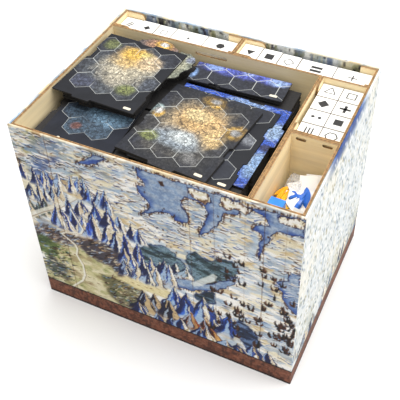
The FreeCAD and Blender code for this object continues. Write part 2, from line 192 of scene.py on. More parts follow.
class Painting:
    """A sheet painted in millimetres: x runs to the right and y down from the rim, negative inside it."""

    def __init__(self, xs, ys):
        self.xs, self.ys = xs, ys
        self.x, self.y = np.meshgrid(xs, ys)
        self.rgb = np.zeros(self.x.shape + (3,))

    def window(self, x0, x1, y0, y1):
        rows, columns = np.searchsorted(self.ys, (y0, y1)), np.searchsorted(self.xs, (x0, x1))
        return slice(rows[0], rows[1]), slice(columns[0], columns[1])

    def lay(self, where, mask, colour):
        part = self.rgb[where]
        part += (np.asarray(colour) - part) * mask[..., None]

    def wash(self, mask, colour):
        self.lay((slice(None), slice(None)), mask, colour)

    def area(self, points, rough=5.0, grain=16.0, step=(0.0, 0.0)):
        """Where a rough-edged outline lies, and its depth a step away in millimetres, positive inside."""
        points = np.array(points, float)
        low, high = points.min(0) - rough - 4, points.max(0) + rough + 4
        where = self.window(low[0], high[0], low[1], high[1])
        x, y = self.x[where], self.y[where]
        x, y = (x + step[0] + (noise(x, y + 90, grain) - 0.5) * 2 * rough,
                y + step[1] + (noise(x + 70, y, grain) - 0.5) * 2 * rough)
        depth = np.full(x.shape, 1e3)
        for start, end in zip(points, np.roll(points, -1, 0)):
            depth = np.minimum(depth, line_distance(x, y, start, end)[0])
        return where, np.where(inside(points, x, y), depth, -depth)

    def fill(self, points, colour, soft=1.5, rough=5.0, strength=1.0):
        where, depth = self.area(points, rough)
        self.lay(where, strength * ramp(depth, -soft / 2, soft / 2), colour)

    def stroke(self, points, widths, colour, strength=1.0):
        """A brush stroke along points, from the first width to the second."""
        points = np.array(points, float)
        reach = max(widths) + 1.5
        low, high = points.min(0) - reach, points.max(0) + reach
        where = self.window(low[0], high[0], low[1], high[1])
        x, y = self.x[where], self.y[where]
        mask = np.zeros(x.shape)
        count = len(points) - 1
        for i in range(count):
            away, along = line_distance(x, y, points[i], points[i + 1])
            width = widths[0] + (widths[1] - widths[0]) * (i + along) / count
            mask = np.maximum(mask, np.clip((width / 2 - away) / 1.1 + 0.5, 0, 1)
                              * np.clip(width / 0.9, 0, 1))
        self.lay(where, mask * strength, colour)

    def scrub(self, rng, outline, count, run, width, slant, colours, strength=0.75, lip=None):
        """Tapered, slightly arched brush strokes inside an outline; lip is a paler stroke just above each."""
        outline = np.array(outline, float)
        for _ in range(count):
            x, y = rng.uniform(outline.min(0), outline.max(0))
            long, turn, arch = rng.uniform(*run), math.radians(slant
                    + rng.normal(0, 12)), rng.uniform(-0.16, 0.16)
            wide, colour = rng.uniform(*width), colours[int(rng.integers(len(colours)))]
            if not inside(outline, x, y):
                continue
            ahead, over = long * math.cos(turn), long * math.sin(turn)
            path = [(x, y), (x + 0.4 * ahead + arch * over, y + 0.4 * over - arch * ahead),
                    (x + ahead, y + over)]
            if lip:
                self.stroke([(a + 0.4, b - wide * 0.8) for a, b in path], (wide, 0.5), lip, 0.8)
            self.stroke(path, (wide, 0.4), colour, strength)

    def ground(self):
        """Snowfield: cream and white with tan and icy clouds."""
        x, y = self.x, self.y
        self.rgb[:] = CREAM
        self.wash(0.95 * ramp(noise(x, y * 2.2, 34), 0.42, 0.54), SNOW)
        self.wash(0.80 * ramp(noise(x + 300, y * 2.6, 28), 0.52, 0.62), TAN)
        self.wash(0.70 * ramp(noise(x + 600, y * 3.0, 30), 0.52, 0.62), ICE)
        self.wash(0.55 * ramp(noise(x + 900, y * 3.0, 24), 0.58, 0.66), SEA)

    def dots(self, rng, count, x_range, y_range, size=(1.2, 2.4), colour=UMBER):
        for _ in range(count):
            x, y = rng.uniform(*x_range), rng.uniform(*y_range)
            s = rng.uniform(*size)
            self.stroke([(x - 0.9 * s, y + 0.5 * s), (x + 1.5 * s, y + 0.7 * s)], (0.5, 0.7), SEA, 0.8)
            self.stroke([(x, y - 0.4 * s), (x + 0.1, y + 0.4 * s)], (0.8 * s, s), colour, 0.9)

    def peak(self, rng, x, foot, width, height, shade=ROYAL, light=SNOW, outline=NAVY, warm=CREAM):
        """One mountain: blue facets on its shadow side, cream ones on its lit side, and inked ridges."""
        where = self.window(x - width * 0.8, x + width * 0.8, foot - height - 1, foot + height * 0.15)
        along, down = self.x[where], self.y[where]
        seed, lean, fade = rng.uniform(0, 900), rng.uniform(-0.20, 0.16) * width, rng.uniform(0.80, 0.98)
        bulge, tilt = rng.uniform(5, 8), rng.uniform(-0.25, 0.15)
        if not along.size:
            return
        t = np.clip((down - foot + height) / height, 0.0, 1.3)
        rag = (noise(along + seed, down, width * 0.22, 3) - 0.5) * width * 0.20
        half = width * (0.5 * t + 0.06 * np.sin(t * bulge + seed) * t) + 0.25
        side = (along - x - lean * (1 - t) + rag * np.sqrt(t)) / half
        ridge = (noise(down + seed, down * 0.0, height * 0.22, 2) - 0.5) * 0.9 * np.sqrt(t) + tilt
        body = ramp(np.abs(side), 1.06, 0.94) * ramp(t, 1.16, fade)
        rays = noise(side * 20 + seed, t * 9 + side * 5, 9, 2)
        veins = np.abs(noise(side * 30 + seed + 50, t * 9, 9, 2) - 0.5)
        lit = np.asarray(light) + (np.asarray(warm) * 0.95 - np.asarray(light)) * ramp(rays, 0.47,
                0.52)[..., None]
        cool = np.asarray(shade) * 1.3 + (np.asarray(shade) * 0.85 - np.asarray(shade) * 1.3) * ramp(rays,
                0.47, 0.52)[..., None]
        cool += (np.asarray(ICE) - cool) * (0.85 * ramp(rays, 0.45, 0.41))[..., None]
        cool += (np.asarray(NAVY) - cool) * (0.8 * ramp(rays, 0.56, 0.60))[..., None]
        self.lay(where, body, lit)
        self.lay(where, body * ramp(rays, 0.58, 0.61) * ramp(t, 0.1, 0.3), np.asarray(shade) * 0.95)
        self.lay(where, body * ramp(rays, 0.40, 0.37) * 0.7, TAN)
        self.lay(where, body * ramp(side - ridge, 0.05, -0.05), cool)
        self.lay(where, body * ramp(veins, 0.030, 0.006) * 0.7 * ramp(t, 0.08, 0.25), UMBER)
        line = ramp(np.abs(side - ridge) * np.sqrt(t), 0.075, 0.01) * 0.85
        line = np.maximum(line, ramp(np.abs(np.abs(side) - 0.97), 0.10, 0.0) * 0.65)
        self.lay(where, body * line, outline)

    def mountains(self, rng, path, count, width, height, **paint):
        """A row of peaks whose feet follow a path, the far ones first."""
        path = np.array(path, float)
        steps = np.linspace(0, len(path) - 1, count) + rng.uniform(-0.1, 0.1, count)
        feet = [(np.interp(s, range(len(path)), path[:, 0]), np.interp(s, range(len(path)), path[:, 1]))
                for s in steps]
        for x, foot in sorted(feet, key=lambda place: place[1]):
            self.peak(rng, x + rng.uniform(-3, 3), foot + rng.uniform(-4, 4), rng.uniform(*width),
                      rng.uniform(*height),
                      **paint)

    def coast(self, where, depth):
        """An inked shoreline with cliff ticks on its land side."""
        x, y = self.x[where], self.y[where]
        self.lay(where, ramp(np.abs(depth), 1.1, 0.2) * 0.9, NAVY)
        ticks = ramp(noise(x * 4.5, y * 0.9, 7, 2), 0.50, 0.56)
        self.lay(where, ramp(np.abs(depth + 2.4), 2.6, 0.6) * ticks * 0.8, UMBER)

    def sea(self, outline, deep=0.6, rough=4.0):
        """Grey-blue water, deep blue under its left and lower shores."""
        where, depth = self.area(outline, rough, 9.0)
        x, y = self.x[where], self.y[where]
        shore = ramp(self.area(outline, rough, 9.0, (-7.0, 6.0))[1], 3.0, -5.0)
        wet = ramp(depth, -0.8, 0.8)
        self.lay(where, wet, (0.60, 0.65, 0.72))
        self.lay(where, wet * 0.55 * ramp(noise(x, y * 2, 12), 0.48, 0.58), (0.48, 0.57, 0.70))
        self.lay(where, wet * 0.30 * ramp(noise(x * 2.5, y * 2.5, 6, 2), 0.50, 0.58), (0.38, 0.44, 0.56))
        self.lay(where, wet * shore * deep * (0.6 + 0.4 * ramp(noise(x, y, 14), 0.42, 0.56)), ROYAL)
        self.coast(where, depth)

    def island(self, outline):
        where, depth = self.area(outline, 4.0, 9.0)
        self.lay(where, ramp(depth, -0.6, 0.8), CREAM)
        self.lay(where, ramp(depth, 0, 3) * 0.8
                 * ramp(noise(self.x[where], self.y[where] * 2, 9), 0.48, 0.56), SNOW)
        self.coast(where, -depth)

    def hills(self, outline, colour=TEAL):
        """Wooded hills: a soft blot with rows of small curved tree strokes."""
        where, depth = self.area(outline, 7.0, 14.0)
        x, y = self.x[where], self.y[where]
        bands = noise(x * 0.7, y * 1.7, 13, 3)
        curls = noise(x * 1.0, y * 2.2, 4.5, 2)
        self.lay(where, ramp(depth, -2.5, 2.5) * 0.9, colour)
        self.lay(where, ramp(depth, 0, 2) * 0.75 * ramp(bands, 0.48, 0.58), np.asarray(colour) * 0.62)
        self.lay(where, ramp(depth, 0, 2) * 0.7 * ramp(bands, 0.45, 0.36),
                 np.asarray(colour) * 0.5 + np.asarray(ICE) * 0.5)
        self.lay(where, ramp(depth, 0, 2) * 0.45 * ramp(np.abs(curls - 0.5), 0.05, 0.01), INK)
        self.lay(where, ramp(np.abs(depth - 0.6), 1.6, 0.3) * 0.5, NAVY)

    def claw(self, rng, x, y, size):
        """A cluster of dark curved rock spikes standing in the snow."""
        self.stroke([(x - size * 0.8, y + 0.8), (x + size * 0.6, y + 0.5)], (0.8, 2.0), SEA, 0.7)
        for lean in rng.uniform(-0.8, 0.8, int(rng.integers(3, 6))):
            tall = size * rng.uniform(0.7, 1.25) * (1 - 0.35 * abs(lean))
            root = (x + lean * size * 0.40, y + rng.uniform(-0.6, 0.6))
            bend = (root[0] + lean * size * 0.34, y - tall * 0.55)
            tip = (root[0] + lean * size * 0.26, y - tall)
            self.stroke([root, bend, tip], (size * 0.30, 0.5), (INK, UMBER)[int(rng.integers(2))], 0.95)
            self.stroke([(root[0] + 0.9, root[1] - 0.5), (bend[0] + 0.7, bend[1])], (0.9, 0.4), RUST, 0.5)

    def foot_band(self):
        """A mottled brown band along the foot of the box, between two dark lines."""
        x, y = self.x, self.y
        brown = np.asarray((0.50, 0.35, 0.28)) * (0.80 + 0.45 * noise(x, y * 1.5, 5))[..., None]
        self.wash(ramp(y, 323.4, 324.4), brown)
        self.wash(0.40 * ramp(y, 324, 325) * ramp(noise(x * 2, y * 2 + 40, 5, 3), 0.52, 0.62),
                  (0.56, 0.44, 0.38))
        self.wash(0.40 * ramp(y, 324, 325) * ramp(noise(x * 2, y + 80, 8, 3), 0.53, 0.62),
                  (0.27, 0.19, 0.17))
        self.wash(0.85 * ramp(np.abs(y - 324.0), 1.4, 0.5), INK)
        self.wash(0.9 * ramp(y, 352.5, 354.5), (0.17, 0.14, 0.14))

    def press_lines(self, places, strength=0.4):
        for place in places:
            self.wash(strength * ramp(np.abs(self.x - place), 0.8, 0.2) * ramp(self.y, -2, 2), UMBER)


def front_painting(sheet):
    """Snow and a ragged gulf above, two ranges across the middle, a plain and a great range at the foot."""
    rng = np.random.default_rng(11)
    x, y = sheet.x, sheet.y
    sheet.ground()
    corner = ramp(x + y * 0.6, 190, 90) * ramp(y, 95, 60)
    sheet.wash(0.6 * corner * ramp(noise(x, y * 1.6, 30), 0.46, 0.58), OLIVE)
    sheet.wash(0.7 * corner * ramp(noise(x + 50, y * 2.2, 26), 0.50, 0.60), (0.45, 0.52, 0.58))
    sheet.wash(0.6 * corner * ramp(noise(x + 150, y * 3, 16), 0.55, 0.62), UMBER)
    sheet.fill([(18, 78), (24, 60), (39, 48), (72, 30), (75, 45), (54, 60), (39, 81)], (0.34, 0.42, 0.60),
               12, 8, 0.75)
    sheet.fill([(27, 21), (60, 9), (90, 6), (72, 21), (48, 36)], (0.48, 0.52, 0.58), 9, 7, 0.6)
    sheet.fill([(45, 69), (78, 45), (99, 36), (90, 60), (60, 78)], ICE, 8, 6, 0.7)
    upper_snow = [(-5, 2), (425, 2), (425, 110), (330, 125), (190, 140), (140, 95), (60, 72), (-5, 76)]
    sheet.scrub(rng, upper_snow, 1150, (4, 15), (0.8, 3.0), -3, SNOW_MARKS, 0.75, SNOW)
    sheet.sea([(106, 32), (116, 23), (130, 13), (133, 7), (154, 8), (141, 14), (136, 22), (122, 28)], 1.0,
              2.0)
    sheet.fill([(110, 29), (130, 16), (148, 10), (138, 19), (122, 26)], ROYAL, 2, 2, 0.8)
    sheet.sea([(196, 7), (338, 7), (334, 32), (318, 37), (312, 50), (304, 69), (287, 86), (279, 91),
               (282, 81), (293, 60),
               (295, 45), (290, 34), (276, 30), (264, 31), (255, 40), (259, 50), (266, 62), (265, 75),
               (258, 82), (248, 79),
               (240, 70), (228, 71), (217, 76), (207, 83), (192, 90), (205, 79), (211, 68), (207, 60),
               (196, 50), (194, 37),
               (207, 32), (199, 23)], 0.9)
    sheet.island([(268, 12), (297, 10), (301, 25), (290, 31), (278, 27), (268, 20)])
    sheet.island([(313, 10), (330, 8), (352, 14), (345, 26), (330, 24), (320, 30), (312, 24)])
    sheet.fill([(226, 17), (233, 15), (235, 22), (230, 24)], UMBER, 1.2, 1.5)
    sheet.sea([(348, 11), (387, 6), (420, 4), (420, 32), (404, 37), (388, 35), (379, 44), (374, 63),
               (368, 79), (363, 97),
               (361, 89), (365, 67), (367, 52), (357, 48), (359, 41), (376, 32), (370, 19), (353, 13)], 0.9)
    sheet.island([(387, 8), (412, 5), (420, 9), (420, 19), (402, 23), (389, 22)])
    sheet.sea([(420, 101), (407, 107), (403, 121), (388, 131), (386, 141), (397, 150), (400, 164),
               (409, 178), (420, 187)], 0.7)
    sheet.fill([(354, 72), (351, 48), (360, 54), (362, 84), (357, 105), (348, 102)], ICE, 6, 4, 0.7)
    lower_snow = [(190, 100), (425, 100), (425, 322), (385, 322), (300, 235), (318, 150), (260, 128),
                  (190, 140)]
    sheet.scrub(rng, lower_snow, 620, (4, 13), (0.8, 2.4), -3, SNOW_MARKS, 0.7, SNOW)
    sheet.dots(rng, 46, (60, 410), (35, 150))
    sheet.dots(rng, 22, (190, 330), (100, 140))
    for outline in ([(171, 180), (184, 168), (196, 155), (211, 144), (231, 140), (244, 145), (241, 154),
                     (255, 162), (265, 180),
                     (253, 190), (228, 194), (192, 190)],
                    [(259, 149), (274, 131), (289, 136), (304, 128), (325, 124), (334, 129), (332, 150),
                     (318, 168),
                     (301, 184), (288, 198), (270, 207), (255, 193), (265, 177)]):
        sheet.hills(outline)
        sheet.scrub(rng, outline, 70, (4, 10), (0.8, 1.8), -20, (TEAL, ICE, NAVY, (0.25, 0.32, 0.34)), 0.7)
    sheet.sea([(216, 215), (229, 205), (259, 196), (289, 191), (313, 173), (334, 150), (330, 169),
               (313, 187), (289, 205),
               (265, 217), (241, 223), (223, 223)], 0.8, 3)
    sheet.fill([(264, 201), (300, 162), (306, 165), (303, 177), (270, 207)], (0.80, 0.82, 0.80), 2, 2, 0.8)
    sheet.hills([(271, 222), (288, 207), (301, 207), (300, 228), (288, 237), (274, 234)],
                (0.30, 0.38, 0.45))
    sheet.mountains(rng, [(-6, 98), (30, 104), (66, 94), (99, 90), (128, 100), (144, 116)], 13, (18, 30),
                    (26, 40))
    sheet.mountains(rng, [(-6, 140), (18, 138), (45, 129), (66, 124)], 6, (18, 30), (26, 42),
                    shade=(0.28, 0.36, 0.52))
    sheet.mountains(rng, [(-6, 184), (10, 172), (28, 158)], 5, (20, 30), (26, 40), shade=(0.40, 0.44, 0.42),
                    warm=TAN)
    sheet.stroke([(-3, 180), (27, 156), (60, 132), (90, 104)], (11, 6), (0.84, 0.82, 0.75), 0.8)
    sheet.stroke([(-3, 183), (27, 159), (62, 135), (92, 106)], (1.2, 0.8), UMBER, 0.6)
    sheet.mountains(rng, [(72, 146), (99, 138), (129, 142), (165, 140), (190, 154)], 8, (22, 32), (30, 44))
    sheet.mountains(rng, [(52, 178), (81, 174), (114, 178), (150, 186), (186, 204)], 9, (26, 38), (40, 58),
                    shade=(0.24, 0.34, 0.62))
    woods = [(70, 196), (120, 180), (150, 190), (176, 212), (172, 236), (150, 262), (112, 262), (118, 236),
             (84, 222)]
    sheet.fill(woods, (0.30, 0.27, 0.30), 9, 9, 0.9)
    moor = [(-5, 208), (12, 192), (45, 186), (76, 195), (80, 216), (45, 224), (12, 236), (-5, 238)]
    sheet.fill(moor, (0.38, 0.34, 0.35), 9, 8, 0.85)
    for outline in (woods, moor):
        sheet.scrub(rng, outline, 260, (5, 14), (1.0, 3.4), -32,
                    (INK, UMBER, SEA, ICE, CREAM, TAN, (0.24, 0.25, 0.30)), 0.75)
    plain = [(22, 226), (72, 216), (129, 236), (150, 258), (140, 288), (127, 300), (145, 324), (-5, 326),
             (4, 288), (12, 258)]
    sheet.fill(plain, (0.74, 0.71, 0.55), 9, 8)
    where, depth = sheet.area(plain, 5)
    for shift, colour in ((0, CREAM), (200, (0.58, 0.59, 0.42)), (500, (0.56, 0.50, 0.40))):
        cloud = ramp(noise(x[where] + shift, y[where] * 1.6, 20), 0.50, 0.62)
        sheet.lay(where, 0.6 * ramp(depth, 0, 6) * cloud, colour)
    sheet.fill([(-5, 222), (18, 216), (39, 228), (36, 258), (12, 264), (-5, 258)], GREEN, 8, 8, 0.8)
    sheet.fill([(18, 258), (33, 276), (45, 270), (42, 312), (18, 312), (0, 288)], (0.32, 0.35, 0.38), 9, 8,
               0.8)
    scrubland = [(-5, 222), (60, 222), (60, 262), (48, 322), (-5, 322)]
    sheet.scrub(rng, scrubland, 300, (4, 12), (1.0, 3.6), -18,
                (GREEN, INK, UMBER, OLIVE, SEA, CREAM, (0.25, 0.33, 0.22)), 0.7)
    sheet.scrub(rng, plain, 240, (3, 9), (0.8, 2.4), -8, (OLIVE, UMBER, CREAM, TAN, GREEN), 0.6)
    for points in ([(78, 132), (93, 168), (87, 180), (60, 189), (52, 196), (72, 210), (75, 219)],
                   [(75, 219), (71, 234), (79, 255), (79, 279), (72, 297), (51, 322)]):
        sheet.stroke(points, (3.2, 4.4), (0.90, 0.88, 0.80), 0.9)
        sheet.stroke([(a + 2.2, b) for a, b in points], (0.9, 0.9), UMBER, 0.6)
    heath = [(112, 264), (135, 256), (176, 258), (196, 279), (186, 324), (136, 322), (112, 290)]
    sheet.fill(heath, (0.42, 0.41, 0.33), 9, 8, 0.8)
    sheet.scrub(rng, heath, 280, (4, 13), (1.0, 3.6), -30, (INK, UMBER, GREEN, OLIVE, TAN, SEA, CREAM), 0.7)
    sheet.mountains(rng, [(216, 205), (237, 192), (258, 192)], 3, (26, 34), (18, 26),
                    shade=(0.34, 0.42, 0.46))
    sheet.mountains(rng, [(162, 216), (192, 222), (222, 219), (240, 225)], 7, (22, 32), (34, 50),
                    shade=(0.24, 0.33, 0.56))
    sheet.mountains(rng, [(156, 236), (183, 242), (210, 238)], 4, (24, 32), (34, 48),
                    shade=(0.30, 0.34, 0.46))
    sheet.fill([(140, 256), (156, 243), (226, 240), (240, 246), (214, 260), (168, 264)], (0.86, 0.79, 0.60),
               6, 6, 0.95)
    sheet.scrub(rng, [(150, 246), (225, 243), (210, 258), (160, 260)], 40, (3, 8), (0.6, 1.2), -4,
                (UMBER, TAN), 0.7)
    sheet.mountains(rng, [(236, 282), (267, 292), (303, 286), (330, 292)], 5, (52, 70), (52, 70),
                    shade=(0.24, 0.36, 0.62))
    sheet.mountains(rng, [(178, 314), (205, 304), (232, 312)], 6, (34, 50), (40, 60),
                    shade=(0.25, 0.20, 0.20), warm=TAN,
                    light=(0.74, 0.64, 0.52))
    sheet.mountains(rng, [(262, 314), (290, 318)], 2, (40, 48), (38, 46), shade=(0.42, 0.24, 0.15),
                    light=RUST,
                    warm=(0.86, 0.66, 0.44))
    sheet.hills([(327, 258), (342, 243), (360, 258), (372, 279), (369, 303), (351, 312), (339, 288)],
                (0.30, 0.38, 0.52))
    sheet.mountains(rng, [(165, 328), (210, 330), (270, 330), (330, 330), (387, 328)], 11, (32, 48),
                    (24, 40),
                    shade=(0.25, 0.33, 0.52), warm=TAN)
    for _ in range(58):
        down = rng.random() ** 0.8
        sheet.claw(rng, rng.uniform(304 - 14 * down, 414), 116 + 180 * down,
                   rng.uniform(8, 12) + 4 * down * rng.random())
    for _ in range(14):
        sheet.claw(rng, rng.uniform(394, 418), rng.uniform(215, 285), rng.uniform(9, 14))
    sheet.press_lines((58, 267, 303, 345, 370, 399))
    sheet.foot_band()
    sheet.wash(0.5 * ramp(y, 2.2, 0.6) * ramp(y, -4, -2), (0.80, 0.74, 0.62))


def side_painting(sheet, seed):
    """Right side: pale ice and rock in short slanting daubs, greyer low down, dark blue at the rim."""
    rng = np.random.default_rng(seed)
    x, y = sheet.x, sheet.y
    all_over = [(-6, 2), (324, 2), (324, 326), (-6, 326)]
    sheet.rgb[:] = (0.79, 0.81, 0.81)
    sheet.wash(0.7 * ramp(noise(x + y * 0.4, y * 0.7, 46), 0.46, 0.60), (0.76, 0.79, 0.81))
    sheet.wash(0.6 * ramp(noise(x + y * 0.4 + 200, y, 40), 0.50, 0.62), (0.85, 0.83, 0.76))
    sheet.wash(0.5 * ramp(y, 230, 310) * ramp(noise(x, y, 30), 0.40, 0.60), (0.52, 0.52, 0.43))
    sheet.wash(0.8 * ramp(y, 24, 8) * ramp(np.abs(x - 165), 95, 50), (0.24, 0.32, 0.52))
    daubs = ((0.48, 0.55, 0.62), (0.96, 0.96, 0.95), (0.42, 0.47, 0.46), (0.90, 0.89, 0.84),
             (0.36, 0.43, 0.51),
             (0.60, 0.57, 0.46), (0.95, 0.95, 0.94))
    sheet.scrub(rng, all_over, 1700, (5, 16), (1.4, 4.2), 64, daubs, 0.85)
    sheet.mountains(rng, [(0, 306), (110, 326), (220, 310), (318, 326)], 12, (26, 44), (20, 36),
                    shade=(0.48, 0.54, 0.62),
                    outline=(0.35, 0.30, 0.28))
    sheet.foot_band()


def map_painting(sheet, seed, width, mirrored=False):
    """Back and left sides: the same painted country, with two ranges, a gulf, woods and a rocky foot."""
    rng = np.random.default_rng(seed)

    def along(share):
        return width * (1 - share if mirrored else share)

    drop = 26 if mirrored else 0
    sheet.ground()
    sheet.scrub(rng, [(-5, 2), (width, 2), (width, 325), (-5, 325)], int(width * 2.2), (4, 15), (0.9, 2.6),
                -2, SNOW_MARKS,
                0.8, SNOW)
    sheet.sea([(along(a), b + drop) for a,
               b in ((0.40, 8), (0.66, 8), (0.72, 40), (0.62, 62), (0.60, 96), (0.50, 78), (0.42, 60))],
              0.9, 7)
    sheet.sea([(along(a), b + drop) for a,
               b in ((0.86, 90), (1.05, 60), (1.05, 190), (0.94, 170), (0.84, 140))], 0.8, 7)
    sheet.dots(rng, 50, (10, width - 10), (20, 120))
    sheet.mountains(rng, [(along(0), 110 + drop), (along(0.2), 95 + drop), (along(0.4), 125)],
                    int(width / 28), (18, 28), (26, 42))
    woods = [(along(a), b + drop) for a, b in ((0.55, 170), (0.62, 140), (0.80, 130), (0.88, 165),
                                               (0.78, 205), (0.62, 200))]
    sheet.hills(woods)
    sheet.scrub(rng, woods, 90, (4, 10), (0.8, 1.8), -20, (TEAL, ICE, NAVY, (0.25, 0.32, 0.34)), 0.7)
    sheet.mountains(rng, [(along(0), 205 + drop), (along(0.25), 180 + drop), (along(0.5), 200),
                          (along(0.62), 215)], int(width / 20), (24, 36),
                    (36, 56))
    plain = [(along(a), b + drop) for a, b in ((0.08, 235), (0.5, 225), (0.62, 262), (0.5, 322),
                                               (0.06, 322))]
    sheet.fill(plain, (0.74, 0.71, 0.55), 9, 8, 0.9)
    sheet.scrub(rng, plain, 220, (4, 11), (1.0, 3.0), -12,
                (GREEN, UMBER, OLIVE, CREAM, TAN, (0.25, 0.33, 0.22)), 0.65)
    sheet.mountains(rng, [(along(0.45), 325), (along(0.75), 300), (along(1.0), 326)], int(width / 22),
                    (30, 46), (36, 60),
                    shade=(0.24, 0.30, 0.46), warm=TAN)
    for _ in range(30):
        sheet.claw(rng, along(rng.uniform(0.68, 1.0)), rng.uniform(180, 262), rng.uniform(7, 11))
    sheet.foot_band()


def inside_painting(sheet, seed):
    """The turned-in band: upright smears of grey, pale blue and olive, with dark lumps of rock."""
    x, y = sheet.x, sheet.y
    within = ramp(y, -1.6, -2.6)
    sheet.wash(within, (0.66, 0.68, 0.66))
    for stretch, shift, size, tone, low in ((3.0, 0, 50, (0.52, 0.59, 0.66), 0.48),
                                            (4.0, 300, 44, (0.78, 0.74, 0.60), 0.50),
                                            (2.4, 700, 40, (0.42, 0.47, 0.58), 0.56),
                                            (3.0, 990, 36, (0.82, 0.84, 0.84), 0.55),
                                            (2.0, 1300, 30, (0.48, 0.49, 0.40), 0.57),
                                            (2.0, 1700, 9, (0.28, 0.27, 0.30), 0.60)):
        smear = ramp(noise(x * stretch + shift + seed, y * 0.7, size), low, low + 0.10)
        sheet.wash(within * 0.8 * smear, tone)


paper_material, paper_surface = new_material("printed_paper", 0.62)
paper_surface.inputs["Specular IOR Level"].default_value = 0.25
tree = paper_material.node_tree
print_colour = add(tree, "Attribute", attribute_name="print")
place = add(tree, "TexCoord").outputs["Object"]
grain = add(tree, "TexNoise", {"Vector": place, "Scale": 1400.0, "Detail": 2.0})
ink_grain = add(tree, "MapRange", {"Value": grain.outputs["Fac"], 1: 0.3, 2: 0.7, 3: 0.86, 4: 1.12})
printed = add(tree, "MixRGB", {0: 1.0, 1: print_colour.outputs["Color"], 2: ink_grain.outputs[0]},
              blend_type="MULTIPLY")
tree.links.new(printed.outputs[0], paper_surface.inputs["Base Color"])
waves = add(tree, "TexNoise", {"Vector": place, "Scale": 22.0, "Detail": 2.0})
paper_bump = add(tree, "Bump", {"Height": waves.outputs["Fac"], "Strength": 0.12, "Distance": 0.002})
fine_bump = add(tree, "Bump", {"Height": grain.outputs["Fac"], "Strength": 0.08, "Distance": 0.0002,
                               "Normal": paper_bump.outputs[0]})
tree.links.new(fine_bump.outputs[0], paper_surface.inputs["Normal"])
box_low, box_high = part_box("printed_wrap")
HALF = {"x": box_high.x / mm, "y": box_high.y / mm}
TALL = box_high.z / mm
WALL, PAPER, BAND, BEND = 3.0, 0.4, 46.4, 1.3


def wrap_side(name, turn, across, depth, step, paint):
    """One side of the wrap, a closed slab: outer face, rounded rim and inner band, mitred at the corners."""
    reach = across - BEND
    run = np.linspace(-reach, reach, int(round(2 * reach / step)) + 1)
    bends = np.radians([45.0, 22.5])
    stations = [(-across, a) for a in -bends] + [(s, None) for s in run] + [(across, a)
            for a in bends[::-1]]
    rows_out = np.linspace(0.0, TALL - BEND, int(round(TALL / step)) + 1)
    rows_in = np.linspace(TALL - BEND, TALL - BAND, int(round(BAND / step)) + 1)
    profile = [(0.0, z) for z in rows_out]
    profile += [(BEND - BEND * math.cos(a), TALL - BEND + BEND * math.sin(a))
                for a in np.radians((22.5, 45, 67.5, 90))]
    profile += [(WALL - BEND + BEND * math.sin(a), TALL - BEND + BEND * math.cos(a))
                for a in np.radians((0, 22.5, 45, 67.5))]
    profile += [(WALL, z) for z in rows_in]
    profile += [(WALL - PAPER, TALL - BAND), (WALL - PAPER, TALL - PAPER), (PAPER, TALL - PAPER),
                (PAPER, 0.0)]
    ys = [TALL - z if inset < WALL / 2 else z - TALL for inset, z in profile]
    xs = [across + (math.copysign(reach + BEND * abs(math.sin(a)), s) if a is not None else s) for s,
          a in stations]
    paint_rows = sorted(range(len(profile) - 4), key=lambda i: ys[i])
    sheet = Painting(np.array(xs), np.array([ys[i] for i in paint_rows]))
    paint(sheet)
    brushed = 0.91 + 0.18 * noise(sheet.x, sheet.y * 3.2, 9, 3)[..., None]
    graded = np.clip(sheet.rgb * brushed, 0.02, 0.98)
    graded = graded * 0.86 + graded.mean(axis=2, keepdims=True) * 0.14
    sheet.rgb = np.clip(graded - 0.08 * np.sin(graded * 2 * math.pi) - 0.05, 0.02, 0.96)
    colour = np.empty((len(profile), len(stations), 3))
    for row, i in enumerate(paint_rows):
        colour[i] = sheet.rgb[row]
    colour[len(profile) - 4:] = (0.75, 0.73, 0.70)
    points = np.empty((len(profile), len(stations), 3))
    for i, (inset, z) in enumerate(profile):
        for j, (s, bend) in enumerate(stations):
            if bend is None:
                limit = across - max(inset, BEND)
                spot = (min(max(s, -limit), limit), -depth + inset)
            elif inset < BEND:
                spot = (math.copysign(reach, s) + (BEND - inset) * math.sin(bend),
                        -depth + BEND - (BEND - inset) * math.cos(bend))
            else:
                spot = (math.copysign(across - inset, s), -depth + inset)
            points[i, j] = (spot[0] * mm, spot[1] * mm, z * mm)
    shape = bmesh.new()
    layer = shape.verts.layers.float_color.new("print")
    verts = []
    linear = np.where(colour <= 0.04045, colour / 12.92,
                      ((np.clip(colour, 0.0, 1.0) + 0.055) / 1.055) ** 2.4)
    for i in range(len(profile)):
        line = []
        for j in range(len(stations)):
            vert = shape.verts.new(points[i, j])
            vert[layer] = (*linear[i, j], 1.0)
            line.append(vert)
        verts.append(line)
    for i in range(len(profile)):
        following = verts[(i + 1) % len(profile)]
        for j in range(len(stations) - 1):
            shape.faces.new((verts[i][j], verts[i][j + 1], following[j + 1], following[j]))
    shape.faces.new([line[0] for line in verts])
    shape.faces.new([line[-1] for line in verts][::-1])
    bmesh.ops.remove_doubles(shape, verts=shape.verts, dist=1e-6)
    bmesh.ops.dissolve_degenerate(shape, edges=shape.edges, dist=1e-7)
    bmesh.ops.rotate(shape, verts=shape.verts, cent=(0, 0, 0), matrix=Matrix.Rotation(turn, 3, "Z"))
    mesh = bpy.data.meshes.new(name)
    shape.to_mesh(mesh)
    shape.free()
    mesh.polygons.foreach_set("use_smooth", [True] * len(mesh.polygons))
    mesh.set_sharp_from_angle(angle=math.radians(50))
    mesh.materials.append(paper_material)
    side = new_object(name, mesh)
    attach(side, "box")
    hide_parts("printed_wrap")
    return side


def whole(outside, seed, *details):
    def paint(sheet):
        outside(sheet, *details)
        inside_painting(sheet, seed)
    return paint


